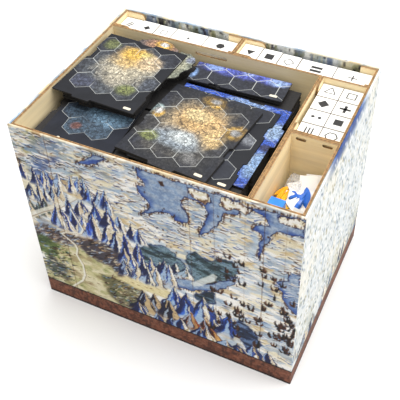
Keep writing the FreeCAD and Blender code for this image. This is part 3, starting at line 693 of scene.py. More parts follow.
wrap_side("wrap_front", 0.0, HALF["x"], HALF["y"], 1.35, whole(front_painting, 0))
wrap_side("wrap_right", math.pi / 2, HALF["y"], HALF["x"], 1.9, whole(side_painting, 120, 5))
wrap_side("wrap_back", math.pi, HALF["x"], HALF["y"], 1.9, whole(map_painting, 340, 21, 420.0))
wrap_side("wrap_left", -math.pi / 2, HALF["y"], HALF["x"], 1.9, whole(map_painting, 560, 33, 318.0, True))

# ---------------------------------------------------------------- plywood trays, bins and riser
# Three-ply birch, 3 mm, cut by laser: pale faces with fine straight grain, brown burnt edges, and a faint
# halo of smoke beside every cut. Walls are finger-jointed and the floors stand on tabs.
def new_group(name, inputs, outputs):
    """A shader node group with named vector (V), colour (C) and plain (F) sockets."""
    kinds = {"V": "NodeSocketVector", "C": "NodeSocketColor", "F": "NodeSocketFloat"}
    group = bpy.data.node_groups.new(name, "ShaderNodeTree")
    for label, kind in inputs:
        group.interface.new_socket(label, in_out="INPUT", socket_type=kinds[kind])
    for label, kind in outputs:
        group.interface.new_socket(label, in_out="OUTPUT", socket_type=kinds[kind])
    return group, group.nodes.new("NodeGroupInput"), group.nodes.new("NodeGroupOutput")


def use_group(tree, group, inputs):
    node = tree.nodes.new("ShaderNodeGroup")
    node.node_tree = group
    for key, value in inputs.items():
        if isinstance(value, bpy.types.NodeSocket):
            tree.links.new(value, node.inputs[key])
        else:
            node.inputs[key].default_value = value
    return node


birch, given, made = new_group("laser_cut_birch",
                               (("Place", "V"), ("Low", "V"), ("High", "V"), ("Axis", "V"), ("Grain", "V")),
                               (("Color", "C"), ("Burn", "F"), ("Height", "F")))
stretched = add(birch, "VectorMath", {0: given.outputs["Place"], 1: given.outputs["Grain"]},
                operation="MULTIPLY")
fibres = add(birch, "TexNoise", {"Vector": stretched.outputs[0], "Scale": 1.0, "Detail": 5.0,
                                 "Roughness": 0.65})
figure = add(birch, "TexNoise", {"Vector": stretched.outputs[0], "Scale": 0.14, "Detail": 2.0,
                                 "Distortion": 0.6})
pale = add(birch, "MixRGB", {0: fibres.outputs["Fac"], 1: (1.0, 0.87, 0.58, 1), 2: (0.87, 0.69, 0.40, 1)})
figured = add(birch, "MapRange", {"Value": figure.outputs["Fac"], 1: 0.3, 2: 0.7, 3: 0.88, 4: 1.08})
face_tone = add(birch, "MixRGB", {0: 1.0, 1: pale.outputs[0], 2: figured.outputs[0]}, blend_type="MULTIPLY")
from_low = add(birch, "VectorMath", {0: given.outputs["Place"], 1: given.outputs["Low"]},
               operation="SUBTRACT")
from_high = add(birch, "VectorMath", {0: given.outputs["High"], 1: given.outputs["Place"]},
                operation="SUBTRACT")
nearest = add(birch, "VectorMath", {0: from_low.outputs[0], 1: from_high.outputs[0]}, operation="MINIMUM")
in_plane = add(birch, "VectorMath", {0: nearest.outputs[0], 1: given.outputs["Axis"]}, operation="ADD")
parts = add(birch, "SeparateXYZ", {0: in_plane.outputs[0]})
edge_a = add(birch, "Math", {0: parts.outputs[0], 1: parts.outputs[1]}, operation="MINIMUM")
edge_b = add(birch, "Math", {0: edge_a.outputs[0], 1: parts.outputs[2]}, operation="MINIMUM")
ragged = add(birch, "TexNoise", {"Vector": given.outputs["Place"], "Scale": 260.0, "Detail": 2.0})
uneven = add(birch, "Math", {0: ragged.outputs["Fac"], 1: 0.0016, 2: edge_b.outputs[0]},
             operation="MULTIPLY_ADD")
smoke = add(birch, "MapRange", {"Value": uneven.outputs[0], 1: 0.0011, 2: 0.0026, 3: 0.55, 4: 0.0},
            interpolation_type="SMOOTHSTEP")
smoked = add(birch, "MixRGB", {0: smoke.outputs[0], 1: face_tone.outputs[0], 2: (0.30, 0.15, 0.06, 1)})
normal = add(birch, "NewGeometry")
facing = add(birch, "VectorMath", {0: normal.outputs["True Normal"], 1: given.outputs["Axis"]},
             operation="DOT_PRODUCT")
turned = add(birch, "Math", {0: facing.outputs["Value"]}, operation="ABSOLUTE")
burn = add(birch, "Math", {0: turned.outputs[0], 1: 0.5}, operation="LESS_THAN")
through_ply = add(birch, "VectorMath", {0: from_low.outputs[0], 1: given.outputs["Axis"]},
                  operation="DOT_PRODUCT")
plies = add(birch, "Math", {0: through_ply.outputs["Value"], 1: math.pi / 0.0015}, operation="MULTIPLY")
ply_wave = add(birch, "Math", {0: plies.outputs[0]}, operation="COSINE")
ply_mix = add(birch, "MapRange", {"Value": ply_wave.outputs[0], 1: -0.9, 2: 0.9, 3: 0.15, 4: 0.85})
char = add(birch, "MixRGB", {0: ply_mix.outputs[0], 1: (0.11, 0.055, 0.022, 1), 2: (0.40, 0.23, 0.085, 1)})
char_spots = add(birch, "MapRange", {"Value": ragged.outputs["Fac"], 1: 0.35, 2: 0.65, 3: 0.7, 4: 1.5})
char_tone = add(birch, "MixRGB", {0: 1.0, 1: char.outputs[0], 2: char_spots.outputs[0]},
                blend_type="MULTIPLY")
birch_tone = add(birch, "MixRGB", {0: burn.outputs[0], 1: smoked.outputs[0], 2: char_tone.outputs[0]})
birch.links.new(birch_tone.outputs[0], made.inputs["Color"])
birch.links.new(burn.outputs[0], made.inputs["Burn"])
birch.links.new(fibres.outputs["Fac"], made.inputs["Height"])


def plywood(node, axis, grain):
    """Birch for one panel: axis is the way through its thickness, and grain the way its fibres run."""
    low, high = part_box(node)
    material, surface = new_material(node + "_birch", 0.62)
    tree = material.node_tree
    scale = [24.0 if along else 520.0 for along in grain]
    wood = use_group(tree, birch, {"Place": add(tree, "TexCoord").outputs["Object"], "Low": low,
                                   "High": high,
                                   "Axis": axis, "Grain": scale})
    tree.links.new(wood.outputs["Color"], surface.inputs["Base Color"])
    fibre_bump = add(tree, "Bump", {"Height": wood.outputs["Height"], "Strength": 0.18, "Distance": 0.0003})
    tree.links.new(fibre_bump.outputs[0], surface.inputs["Normal"])
    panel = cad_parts[node]
    panel.data.materials.clear()
    panel.data.materials.append(material)


for tray in ("tile_bin", "back_left_tray", "back_right_tray", "side_tray", "token_bin"):
    plywood(tray + "_front", (0, 1, 0), (1, 0, 0))
    plywood(tray + "_back", (0, 1, 0), (1, 0, 0))
    plywood(tray + "_left", (1, 0, 0), (0, 1, 0))
    plywood(tray + "_right", (1, 0, 0), (0, 1, 0))
    plywood(tray + "_bottom", (0, 0, 1), (1, 0, 0))
plywood("tray_riser", (0, 0, 1), (0, 0, 1))

# ---------------------------------------------------------------- map tiles
# Die-cut punchboard tiles, printed with a dark floor of slate hexes, 35 mm across, round broken rock that
# glows gold, orange or icy blue. Most have a small blank label plate; tabs and notches lock them together.
HEX = 35.0
hexes, given, made = new_group("hex_lines", (("Place", "V"), ("Cell", "F"), ("Width", "F")),
                               (("Line", "F"), ("Middle", "V")))
shrunk = add(hexes, "VectorMath", {0: given.outputs["Place"], 1: given.outputs["Cell"]}, operation="DIVIDE")
flat = add(hexes, "VectorMath", {0: shrunk.outputs[0], 1: (1, 1, 0)}, operation="MULTIPLY")
half_row = (0.5, math.sqrt(3) / 2, 1.0)
grid_a = add(hexes, "VectorMath", {0: flat.outputs[0], 1: half_row, 2: [-a for a in half_row]},
             operation="WRAP")
moved = add(hexes, "VectorMath", {0: flat.outputs[0], 1: (0.5, math.sqrt(3) / 2, 0)}, operation="SUBTRACT")
grid_b = add(hexes, "VectorMath", {0: moved.outputs[0], 1: half_row, 2: [-a for a in half_row]},
             operation="WRAP")
length_a = add(hexes, "VectorMath", {0: grid_a.outputs[0]}, operation="LENGTH")
length_b = add(hexes, "VectorMath", {0: grid_b.outputs[0]}, operation="LENGTH")
first = add(hexes, "Math", {0: length_a.outputs["Value"], 1: length_b.outputs["Value"]},
            operation="LESS_THAN")
middle = add(hexes, "Mix", {"Factor": first.outputs[0], 4: grid_b.outputs[0], 5: grid_a.outputs[0]},
             data_type="VECTOR")
folded = add(hexes, "VectorMath", {0: middle.outputs[1]}, operation="ABSOLUTE")
slanted = add(hexes, "VectorMath", {0: folded.outputs[0], 1: (0.5, math.sqrt(3) / 2, 0)},
              operation="DOT_PRODUCT")
level = add(hexes, "SeparateXYZ", {0: folded.outputs[0]})
rim_at = add(hexes, "Math", {0: level.outputs[0], 1: slanted.outputs["Value"]}, operation="MAXIMUM")
inwards = add(hexes, "Math", {0: 0.5, 1: rim_at.outputs[0]}, operation="SUBTRACT")
inwards_mm = add(hexes, "Math", {0: inwards.outputs[0], 1: given.outputs["Cell"]}, operation="MULTIPLY")
wide = add(hexes, "Math", {0: given.outputs["Width"], 1: 1.7}, operation="MULTIPLY")
hex_line = add(hexes, "MapRange", {"Value": inwards_mm.outputs[0], 1: given.outputs["Width"],
                                   2: wide.outputs[0], 3: 1.0, 4: 0.0})
hexes.links.new(hex_line.outputs[0], made.inputs["Line"])
offset_mm = add(hexes, "VectorMath", {0: middle.outputs[1], 1: given.outputs["Cell"]}, operation="MULTIPLY")
cell_middle = add(hexes, "VectorMath", {0: given.outputs["Place"], 1: offset_mm.outputs[0]},
                  operation="SUBTRACT")
hexes.links.new(cell_middle.outputs[0], made.inputs["Middle"])

rubble, given, made = new_group("broken_rock", (("Place", "V"), ("Size", "F")),
                                (("Crack", "F"), ("Tone", "F"), ("Height", "F")))
sized = add(rubble, "VectorMath", {0: given.outputs["Place"], 1: given.outputs["Size"]}, operation="DIVIDE")
wander = add(rubble, "TexNoise", {"Vector": sized.outputs[0], "Scale": 0.8, "Detail": 3.0})
bent = add(rubble, "VectorMath", {0: wander.outputs["Color"], 1: (0.9, 0.9, 0.0), 2: sized.outputs[0]},
           operation="MULTIPLY_ADD")
blocks = add(rubble, "TexVoronoi", {"Vector": bent.outputs[0], "Scale": 0.30}, feature="DISTANCE_TO_EDGE")
chips = add(rubble, "TexVoronoi", {"Vector": bent.outputs[0], "Scale": 0.9}, feature="DISTANCE_TO_EDGE")
shades = add(rubble, "TexVoronoi", {"Vector": bent.outputs[0], "Scale": 0.9}, feature="F1")
grit = add(rubble, "TexNoise", {"Vector": sized.outputs[0], "Scale": 3.2, "Detail": 4.0, "Roughness": 0.7})
big_crack = add(rubble, "MapRange", {"Value": blocks.outputs["Distance"], 1: 0.01, 2: 0.07, 3: 0.9, 4: 0.0})
small_crack = add(rubble, "MapRange", {"Value": chips.outputs["Distance"], 1: 0.01, 2: 0.12, 3: 0.6,
                                       4: 0.0})
any_crack = add(rubble, "Math", {0: big_crack.outputs[0], 1: small_crack.outputs[0]}, operation="MAXIMUM")
block_shade = add(rubble, "SeparateColor", {0: shades.outputs["Color"]})
speckled = add(rubble, "Math", {0: grit.outputs["Fac"], 1: 1.3, 2: -0.38}, operation="MULTIPLY_ADD")
rock_tone = add(rubble, "Math", {0: block_shade.outputs[0], 1: 0.65, 2: speckled.outputs[0]},
                operation="MULTIPLY_ADD")
rock_height = add(rubble, "Math", {0: rock_tone.outputs[0], 1: any_crack.outputs[0]}, operation="SUBTRACT")
rubble.links.new(any_crack.outputs[0], made.inputs["Crack"])
rubble.links.new(rock_tone.outputs[0], made.inputs["Tone"])
rubble.links.new(rock_height.outputs[0], made.inputs["Height"])


def tile_print(name, centre, turn, size, glows, slate=(0.017, 0.019, 0.026), rock=0.8, shift=(0.0, 0.0),
               line=0.62,
               reach=10.0, grain=2.7, margin=0.0):
    """The printed face of a tile. A glow is its place and radius on the tile, its colour and its strength."""
    material, surface = new_material(name, 0.5)
    surface.inputs["Specular IOR Level"].default_value = 0.3
    tree = material.node_tree
    in_mm = add(tree, "VectorMath", {0: add(tree, "TexCoord").outputs["Object"], 1: (1000, 1000, 1000)},
                operation="MULTIPLY")
    local = add(tree, "Mapping", {"Vector": in_mm.outputs[0], "Location": (*centre, 0),
                                  "Rotation": (0, 0, math.radians(turn))},
                vector_type="TEXTURE").outputs[0]
    stone = use_group(tree, rubble, {"Place": local, "Size": grain})
    shifted = add(tree, "VectorMath", {0: local, 1: (*shift, 0)}, operation="SUBTRACT").outputs[0]
    outline = use_group(tree, hexes, {"Place": shifted, "Cell": HEX, "Width": 0.42})
    at_cell = add(tree, "VectorMath", {0: outline.outputs["Middle"], 1: (*shift, 0)}, operation="ADD")
    cell_off = add(tree, "VectorMath", {0: at_cell.outputs[0]}, operation="ABSOLUTE")
    cell_in = add(tree, "SeparateXYZ", {0: add(tree, "VectorMath",
                                               {0: (size[0] / 2, size[1] / 2, 99), 1: cell_off.outputs[0]},
                                               operation="SUBTRACT").outputs[0]})
    cell_side = add(tree, "Math", {0: cell_in.outputs[0], 1: cell_in.outputs[1]}, operation="MINIMUM")
    on_cell = add(tree, "Math", {0: cell_side.outputs[0], 1: reach}, operation="GREATER_THAN")
    spot_off = add(tree, "VectorMath", {0: local}, operation="ABSOLUTE")
    spot_in = add(tree, "SeparateXYZ", {0: add(tree, "VectorMath",
                                               {0: (size[0] / 2, size[1] / 2, 99), 1: spot_off.outputs[0]},
                                               operation="SUBTRACT").outputs[0]})
    spot_side = add(tree, "Math", {0: spot_in.outputs[0], 1: spot_in.outputs[1]}, operation="MINIMUM")
    faint = add(tree, "MapRange", {"Value": spot_side.outputs[0], 1: 22.0, 2: 40.0, 3: line,
                                   4: line * 0.08})
    mist = add(tree, "TexNoise", {"Vector": local, "Scale": 0.045, "Detail": 4.0, "Distortion": 0.8})
    base = add(tree, "MixRGB", {0: mist.outputs["Fac"], 1: (*[c * 0.7 for c in slate], 1),
                                2: (*[c * 2.2 for c in slate], 1)})
    shadow = add(tree, "MapRange", {"Value": stone.outputs["Tone"], 1: 0.15, 2: 0.85, 3: 0.35, 4: 1.7})
    colour = add(tree, "MixRGB", {0: rock, 1: base.outputs[0], 2: shadow.outputs[0]},
                 blend_type="MULTIPLY").outputs[0]
    for spot, radius, tint, strength in glows:
        away = add(tree, "VectorMath", {0: local, 1: (*spot, 0)}, operation="SUBTRACT")
        oval = add(tree, "VectorMath", {0: away.outputs[0], 1: (1 / radius[0], 1 / radius[1], 0)},
                   operation="MULTIPLY")
        distance = add(tree, "VectorMath", {0: oval.outputs[0]}, operation="LENGTH")
        frayed = add(tree, "Math", {0: mist.outputs["Fac"], 1: 0.7, 2: distance.outputs["Value"]},
                     operation="MULTIPLY_ADD")
        soft = add(tree, "MapRange", {"Value": frayed.outputs[0], 1: 0.75, 2: 1.35, 3: strength, 4: 0.0},
                   interpolation_type="SMOOTHSTEP")
        shaded = add(tree, "MixRGB", {0: stone.outputs["Tone"], 1: (*[c * 0.10 for c in tint], 1),
                                      2: (*[min(1.0, c * 2.1) for c in tint], 1)})
        colour = add(tree, "MixRGB", {0: soft.outputs[0], 1: colour, 2: shaded.outputs[0]}).outputs[0]
    cracked = add(tree, "Math", {0: stone.outputs["Crack"], 1: rock}, operation="MULTIPLY")
    colour = add(tree, "MixRGB", {0: cracked.outputs[0], 1: colour, 2: (0.012, 0.012, 0.016, 1)}).outputs[0]
    outer = add(tree, "MixRGB", {0: mist.outputs["Fac"], 1: (*[c * 0.35 for c in slate], 1),
                                 2: (*[c * 0.95 for c in slate], 1)})
    outside = add(tree, "MixRGB", {0: margin, 1: outer.outputs[0], 2: colour}).outputs[0]
    colour = add(tree, "MixRGB", {0: on_cell.outputs[0], 1: outside, 2: colour}).outputs[0]
    strength = add(tree, "Math", {0: outline.outputs["Line"], 1: faint.outputs[0]}, operation="MULTIPLY")
    drawn = add(tree, "Math", {0: strength.outputs[0], 1: on_cell.outputs[0]}, operation="MULTIPLY")
    colour = add(tree, "MixRGB", {0: drawn.outputs[0], 1: colour, 2: (0.62, 0.64, 0.62, 1)}).outputs[0]
    tree.links.new(colour, surface.inputs["Base Color"])
    linen = add(tree, "TexNoise", {"Vector": local, "Scale": 2.4, "Detail": 1.0})
    relief = add(tree, "Bump", {"Height": linen.outputs["Fac"], "Strength": 0.10, "Distance": 0.0002})
    tree.links.new(relief.outputs[0], surface.inputs["Normal"])
    return material


core_material, core_surface = new_material("tile_core", 0.85)
tree = core_material.node_tree
place = add(tree, "TexCoord").outputs["Object"]
layered = add(tree, "Mapping", {"Vector": place, "Scale": (300, 300, 4000)})
core_noise = add(tree, "TexNoise", {"Vector": layered.outputs[0], "Scale": 1.0, "Detail": 3.0})
core_tone = add(tree, "MixRGB", {0: core_noise.outputs["Fac"], 1: (0.006, 0.006, 0.008, 1),
                                 2: (0.032, 0.030, 0.030, 1)})
tree.links.new(core_tone.outputs[0], core_surface.inputs["Base Color"])
label_material, label_surface = new_material("tile_label", 0.5)
tree = label_material.node_tree
label_noise = add(tree, "TexNoise", {"Vector": add(tree, "TexCoord").outputs["Object"], "Scale": 700.0})
label_tone = add(tree, "MixRGB", {0: label_noise.outputs["Fac"], 1: (0.74, 0.70, 0.58, 1),
                                  2: (0.62, 0.57, 0.44, 1)})
tree.links.new(label_tone.outputs[0], label_surface.inputs["Base Color"])


def die_cut(size, marks):
    """Outline of a tile in its own millimetres. A mark is (side, place, length, reach), out or in."""
    half = (size[0] / 2, size[1] / 2)
    outline = []
    for side, (start, end) in (("front", ((-1, -1), (1, -1))), ("right", ((1, -1), (1, 1))),
                               ("back", ((1, 1), (-1, 1))), ("left", ((-1, 1), (-1, -1)))):
        a, b = Vector((start[0] * half[0], start[1] * half[1])), Vector((end[0] * half[0],
                end[1] * half[1]))
        along = (b - a).normalized()
        out = Vector((along.y, -along.x))
        outline.append(a)
        cuts = []
        for at_side, at, length, reach in marks:
            if at_side == side:
                spot = at if side in ("front", "back") else at
                centre = (a + b) / 2 + Vector((at, 0) if side in ("front", "back") else (0, at))
                cuts.append(((centre - a).dot(along), centre, length, reach))
        for _, centre, length, reach in sorted(cuts, key=lambda cut: cut[0]):
            slope = min(2.2, length / 5)
            outline.append(centre - along * length / 2)
            outline.append(centre - along * (length / 2 - slope) + out * reach)
            outline.append(centre + along * (length / 2 - slope) + out * reach)
            outline.append(centre + along * length / 2)
    return outline


def tile(name, node, body, size, centre, turn, top, thick, marks, face, label=None, label_turn=0.0,
         core=None):
    """One printed tile: bevelled punchboard with its label plate, in its place in the bin."""
    shape = bmesh.new()
    foot = [shape.verts.new((p.x, p.y, 0)) for p in die_cut(size, marks)]
    bottom = shape.faces.new(foot)
    raised = bmesh.ops.extrude_face_region(shape, geom=[bottom])
    lifted = [part for part in raised["geom"] if isinstance(part, bmesh.types.BMVert)]
    bmesh.ops.translate(shape, verts=lifted, vec=(0, 0, thick))
    bmesh.ops.recalc_face_normals(shape, faces=shape.faces)
    upper = [edge for edge in shape.edges if all(vert.co.z > thick / 2 for vert in edge.verts)]
    bmesh.ops.bevel(shape, geom=upper, offset=0.35, segments=2, affect="EDGES", profile=0.6)
    for one in shape.faces:
        one.material_index = 0 if one.normal.z > 0.9 else 1
    if label:
        plate = bmesh.ops.create_cube(shape, size=1.0)["verts"]
        bmesh.ops.scale(shape, vec=(11.5, 4.6, 0.16), verts=plate)
        uprights = {edge for vert in plate for edge in vert.link_edges
                    if abs(edge.verts[0].co.z - edge.verts[1].co.z) > 0.1}
        rounded = bmesh.ops.bevel(shape, geom=list(uprights), offset=1.6, segments=4, affect="EDGES",
                                  profile=0.5)
        plate = {vert for one in rounded["faces"] for vert in one.verts} | {vert for vert in plate
                if vert.is_valid}
        bmesh.ops.rotate(shape, verts=list(plate), cent=(0, 0, 0),
                         matrix=Matrix.Rotation(math.radians(label_turn), 3, "Z"))
        bmesh.ops.translate(shape, verts=list(plate), vec=(*label, thick + 0.06))
        for one in {one for vert in plate for one in vert.link_faces}:
            one.material_index = 2
    bmesh.ops.transform(shape, verts=shape.verts,
                        matrix=Matrix.Diagonal((mm, mm, mm, 1)) @ Matrix.Translation((*centre, top - thick))
                        @ Matrix.Rotation(math.radians(turn), 4, "Z"))
    mesh = bpy.data.meshes.new(name)
    shape.to_mesh(mesh)
    shape.free()
    for material in (face, core or core_material, label_material):
        mesh.materials.append(material)
    made = new_object(name, mesh)
    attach(made, body)
    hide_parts(node)
    return made


FLAME, GLARE, MOSS, PALE_ROCK = (0.80, 0.30, 0.06), (1.0, 0.88, 0.60), (0.15, 0.17, 0.06), (0.40, 0.36,
        0.27)
TOP_LEFT = ((134.0, 153.0), (-131.5, 9.0), -2.6)
top_left_face = tile_print("gold_cavern_print", TOP_LEFT[1], TOP_LEFT[2], TOP_LEFT[0], (
    ((0, 0), (80, 90), (0.070, 0.078, 0.088), 1.0), ((4, 8), (54, 54), PALE_ROCK, 0.95),
    ((-2, 34), (42, 34), (0.42, 0.29, 0.12), 0.95), ((-4, 44), (28, 22), (0.50, 0.30, 0.06), 0.95),
    ((14, 48), (14, 10), (0.62, 0.40, 0.14), 0.8), ((28, 34), (26, 22), (0.48, 0.37, 0.24), 0.8),
    ((30, -36), (20, 16), MOSS, 0.9), ((-48, 52), (18, 18), MOSS, 0.7),
    ((-38, -44), (34, 18), (0.055, 0.062, 0.095), 0.8), ((52, -12), (14, 22), (0.07, 0.08, 0.10), 0.8)),
    shift=(-38, -41.5), reach=11)
tile("top_left_tile_print", "top_left_tile", "top_left_tile", *TOP_LEFT, 353.8, 2.2,
     (("front", -18.0, 30.0, 4.0), ("left", 22.0, 26.0, -4.0), ("back", 0.0, 26.0, -5.0),
      ("right", -30.0, 22.0, -3.0)),
     top_left_face, label=(54, -70))
CENTRE = ((138.0, 156.0), (9.0, -52.0), -5.5)
centre_face = tile_print("ember_hall_print", CENTRE[1], CENTRE[2], CENTRE[0], (
    ((0, 0), (90, 100), (0.070, 0.066, 0.058), 1.0), ((2, 12), (64, 62), (0.27, 0.21, 0.13), 0.95),
    ((4, 22), (46, 36), (0.47, 0.31, 0.14), 0.95), ((-4, 30), (26, 18), (0.52, 0.39, 0.21), 0.8),
    ((36, -4), (20, 28), (0.52, 0.34, 0.16), 0.85),
    ((-6, -26), (50, 28), (0.17, 0.20, 0.23), 0.95), ((0, -20), (28, 16), (0.44, 0.50, 0.56), 0.85),
    ((-42, -36), (18, 13), MOSS, 0.9), ((28, -52), (18, 12), (0.13, 0.13, 0.13), 0.8),
    ((2, 64), (24, 15), FLAME, 1.0), ((2, 67), (13, 8), GLARE, 1.0), ((58, 22), (20, 19), FLAME, 1.0),
    ((58, 22), (11, 10), GLARE, 1.0), ((-63, 16), (12, 15), (0.36, 0.48, 0.80), 0.9),
    ((-58, 10), (12, 13), FLAME, 0.9),
    ((-60, 15), (9, 10), GLARE, 1.0)), shift=(-8, -49), reach=8.4, margin=0.45)
tile("centre_tile_print", "centre_tile", "centre_tile", *CENTRE, 338.7, 4.4,
     (("front", 4.0, 40.0, 5.0), ("right", -17.0, 22.0, -4.0), ("left", -20.0, 20.0, -3.0),
      ("back", -40.0, 20.0, -3.0)),
     centre_face, label=(55, -71))
SLATE = ((148.0, 164.0), (30.0, -48.0), -2.4)
slate_face = tile_print("slate_print", SLATE[1], SLATE[2], SLATE[0],
                        (((58, 14), (16, 15), (0.16, 0.17, 0.19), 0.8),),
                        rock=0.2, shift=(14, 8), reach=12.0)
tile("slate_tile_print", "slate_tile", "slate_tile", *SLATE, 334.0, 2.2,
     (("front", 30.0, 26.0, -5.0), ("right", 40.0, 24.0, -4.0), ("right", -40.0, 24.0, -4.0)), slate_face,
     label=(62, -76))
ICE_TILE = ((164.0, 164.0), (35.0, -36.0), -1.0)
ice_face = tile_print("ice_print", ICE_TILE[1], ICE_TILE[2], ICE_TILE[0], (
    ((0, 0), (400, 400), (0.035, 0.08, 0.36), 1.0), ((76, 34), (18, 24), (0.24, 0.34, 0.66), 0.9),
    ((76, -38), (18, 34), (0.20, 0.31, 0.64), 0.9), ((20, 74), (40, 12), (0.20, 0.30, 0.64), 0.8),
    ((78, -2), (14, 9), (0.03, 0.03, 0.06), 0.9)), rock=0.9, line=0.25, reach=-30.0, grain=2.4)
tile("ice_tile_print", "ice_tile", "ice_tile", *ICE_TILE, 331.5, 2.2,
     (("right", 22.0, 40.0, 5.5), ("front", -30.0, 30.0, -5.0), ("back", 30.0, 26.0, -3.0)), ice_face)
LOWER_LEFT = ((112.0, 128.0), (-127.5, -79.0), 3.0)
lower_face = tile_print("frozen_floor_print", LOWER_LEFT[1], LOWER_LEFT[2], LOWER_LEFT[0], (
    ((6, 6), (80, 84), (0.045, 0.070, 0.10), 1.0), ((20, 20), (42, 36), (0.12, 0.20, 0.28), 0.9),
    ((-16, -20), (11, 10), (0.13, 0.06, 0.05), 0.95)),
    slate=(0.018, 0.022, 0.036), shift=(-16, -20), reach=14.0)
tile("lower_left_tile_print", "lower_left_tile", "lower_left_tile", *LOWER_LEFT, 331.5, 2.2,
     (("front", 30.0, 26.0, 4.0), ("left", 20.0, 24.0, -4.0)), lower_face, label=(-26, -54), label_turn=-68)

# Piles of tiles, all slightly askew: two short ones under the top tiles, and the tall stack in the bin.
pile_tree = bpy.data.node_groups.new("tile_pile", "GeometryNodeTree")
for label, kind in (("Tile", "NodeSocketObject"), ("Count", "NodeSocketInt"), ("Pitch", "NodeSocketFloat"),
                    ("Slip", "NodeSocketFloat"),
                    ("Twist", "NodeSocketFloat"), ("Seed", "NodeSocketInt"), ("Base", "NodeSocketVector"),
                    ("Board", "NodeSocketMaterial")):
    pile_tree.interface.new_socket(label, in_out="INPUT", socket_type=kind)
pile_tree.interface.new_socket("Geometry", in_out="OUTPUT", socket_type="NodeSocketGeometry")
given, made = pile_tree.nodes.new("NodeGroupInput"), pile_tree.nodes.new("NodeGroupOutput")


def grow(kind, inputs=None, **settings):
    """A geometry node of the pile, with its settings and its inputs."""
    node = pile_tree.nodes.new(kind)
    for key, value in settings.items():
        setattr(node, key, value)
    for key, value in (inputs or {}).items():
        if isinstance(value, bpy.types.NodeSocket):
            pile_tree.links.new(value, node.inputs[key])
        else:
            node.inputs[key].default_value = value
    return node


rise = grow("ShaderNodeCombineXYZ", {"Z": given.outputs["Pitch"]})
levels = grow("GeometryNodeMeshLine", {"Count": given.outputs["Count"],
                                       "Start Location": given.outputs["Base"],
                                       "Offset": rise.outputs[0]})
slip = grow("ShaderNodeCombineXYZ", {"X": given.outputs["Slip"], "Y": given.outputs["Slip"]})
slip_back = grow("ShaderNodeVectorMath", {0: slip.outputs[0], 1: (-1, -1, -1)}, operation="MULTIPLY")
astray = grow("FunctionNodeRandomValue", {0: slip_back.outputs[0], 1: slip.outputs[0],
                                          "Seed": given.outputs["Seed"]}, data_type="FLOAT_VECTOR")
shoved = grow("GeometryNodeSetPosition", {"Geometry": levels.outputs[0], "Offset": astray.outputs[0]})
twist = grow("ShaderNodeCombineXYZ", {"Z": given.outputs["Twist"]})
twist_back = grow("ShaderNodeVectorMath", {0: twist.outputs[0], 1: (-1, -1, -1)}, operation="MULTIPLY")
askew = grow("FunctionNodeRandomValue", {0: twist_back.outputs[0], 1: twist.outputs[0],
                                         "Seed": given.outputs["Seed"]}, data_type="FLOAT_VECTOR")
source = grow("GeometryNodeObjectInfo", {"Object": given.outputs["Tile"]})
placed = grow("GeometryNodeInstanceOnPoints",
              {"Points": shoved.outputs[0], "Instance": source.outputs["Geometry"],
                                               "Rotation": askew.outputs[0]})
real = grow("GeometryNodeRealizeInstances", {"Geometry": placed.outputs[0]})
faced = grow("GeometryNodeSetMaterial", {"Geometry": real.outputs[0], "Material": given.outputs["Board"]})
pile_tree.links.new(faced.outputs[0], made.inputs[0])


def tile_pile(name, node, piles):
    """Piles as one mesh: each is size, marks, middle, lowest face, count, pitch, slip, twist and seed."""
    shape = bmesh.new()
    for size, marks, middle, low, count, pitch, slip, twist, seed in piles:
        one = bmesh.new()
        foot = one.faces.new([one.verts.new((p.x * mm, p.y * mm, 0)) for p in die_cut(size, marks)])
        up = bmesh.ops.extrude_face_region(one, geom=[foot])
        bmesh.ops.translate(one, verts=[part for part in up["geom"]
                                        if isinstance(part, bmesh.types.BMVert)], vec=(0, 0, 2.2 * mm))
        bmesh.ops.recalc_face_normals(one, faces=one.faces)
        tile_mesh = bpy.data.meshes.new("one_tile")
        one.to_mesh(tile_mesh)
        one.free()
        pattern = bpy.data.objects.new("one_tile", tile_mesh)
        holder = bpy.data.objects.new("pile", bpy.data.meshes.new("pile"))
        scene.collection.objects.link(holder)
        modifier = holder.modifiers.new("pile", "NODES")
        modifier.node_group = pile_tree
        values = {"Tile": pattern, "Count": count, "Pitch": pitch * mm, "Slip": slip * mm,
                  "Twist": math.radians(twist),
                  "Seed": seed, "Base": (middle[0] * mm, middle[1] * mm, low * mm), "Board": core_material}
        for item in pile_tree.interface.items_tree:
            if item.item_type == "SOCKET" and item.in_out == "INPUT":
                modifier[item.identifier] = values[item.name]
        bpy.context.view_layer.update()
        grown = bpy.data.meshes.new_from_object(holder.evaluated_get(bpy.context.evaluated_depsgraph_get()))
        shape.from_mesh(grown)
        bpy.data.objects.remove(holder)
        bpy.data.objects.remove(pattern)
    mesh = bpy.data.meshes.new(name)
    shape.to_mesh(mesh)
    shape.free()
    mesh.materials.append(core_material)
    made = new_object(name, mesh)
    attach(made, node)
    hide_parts(node)
    return made


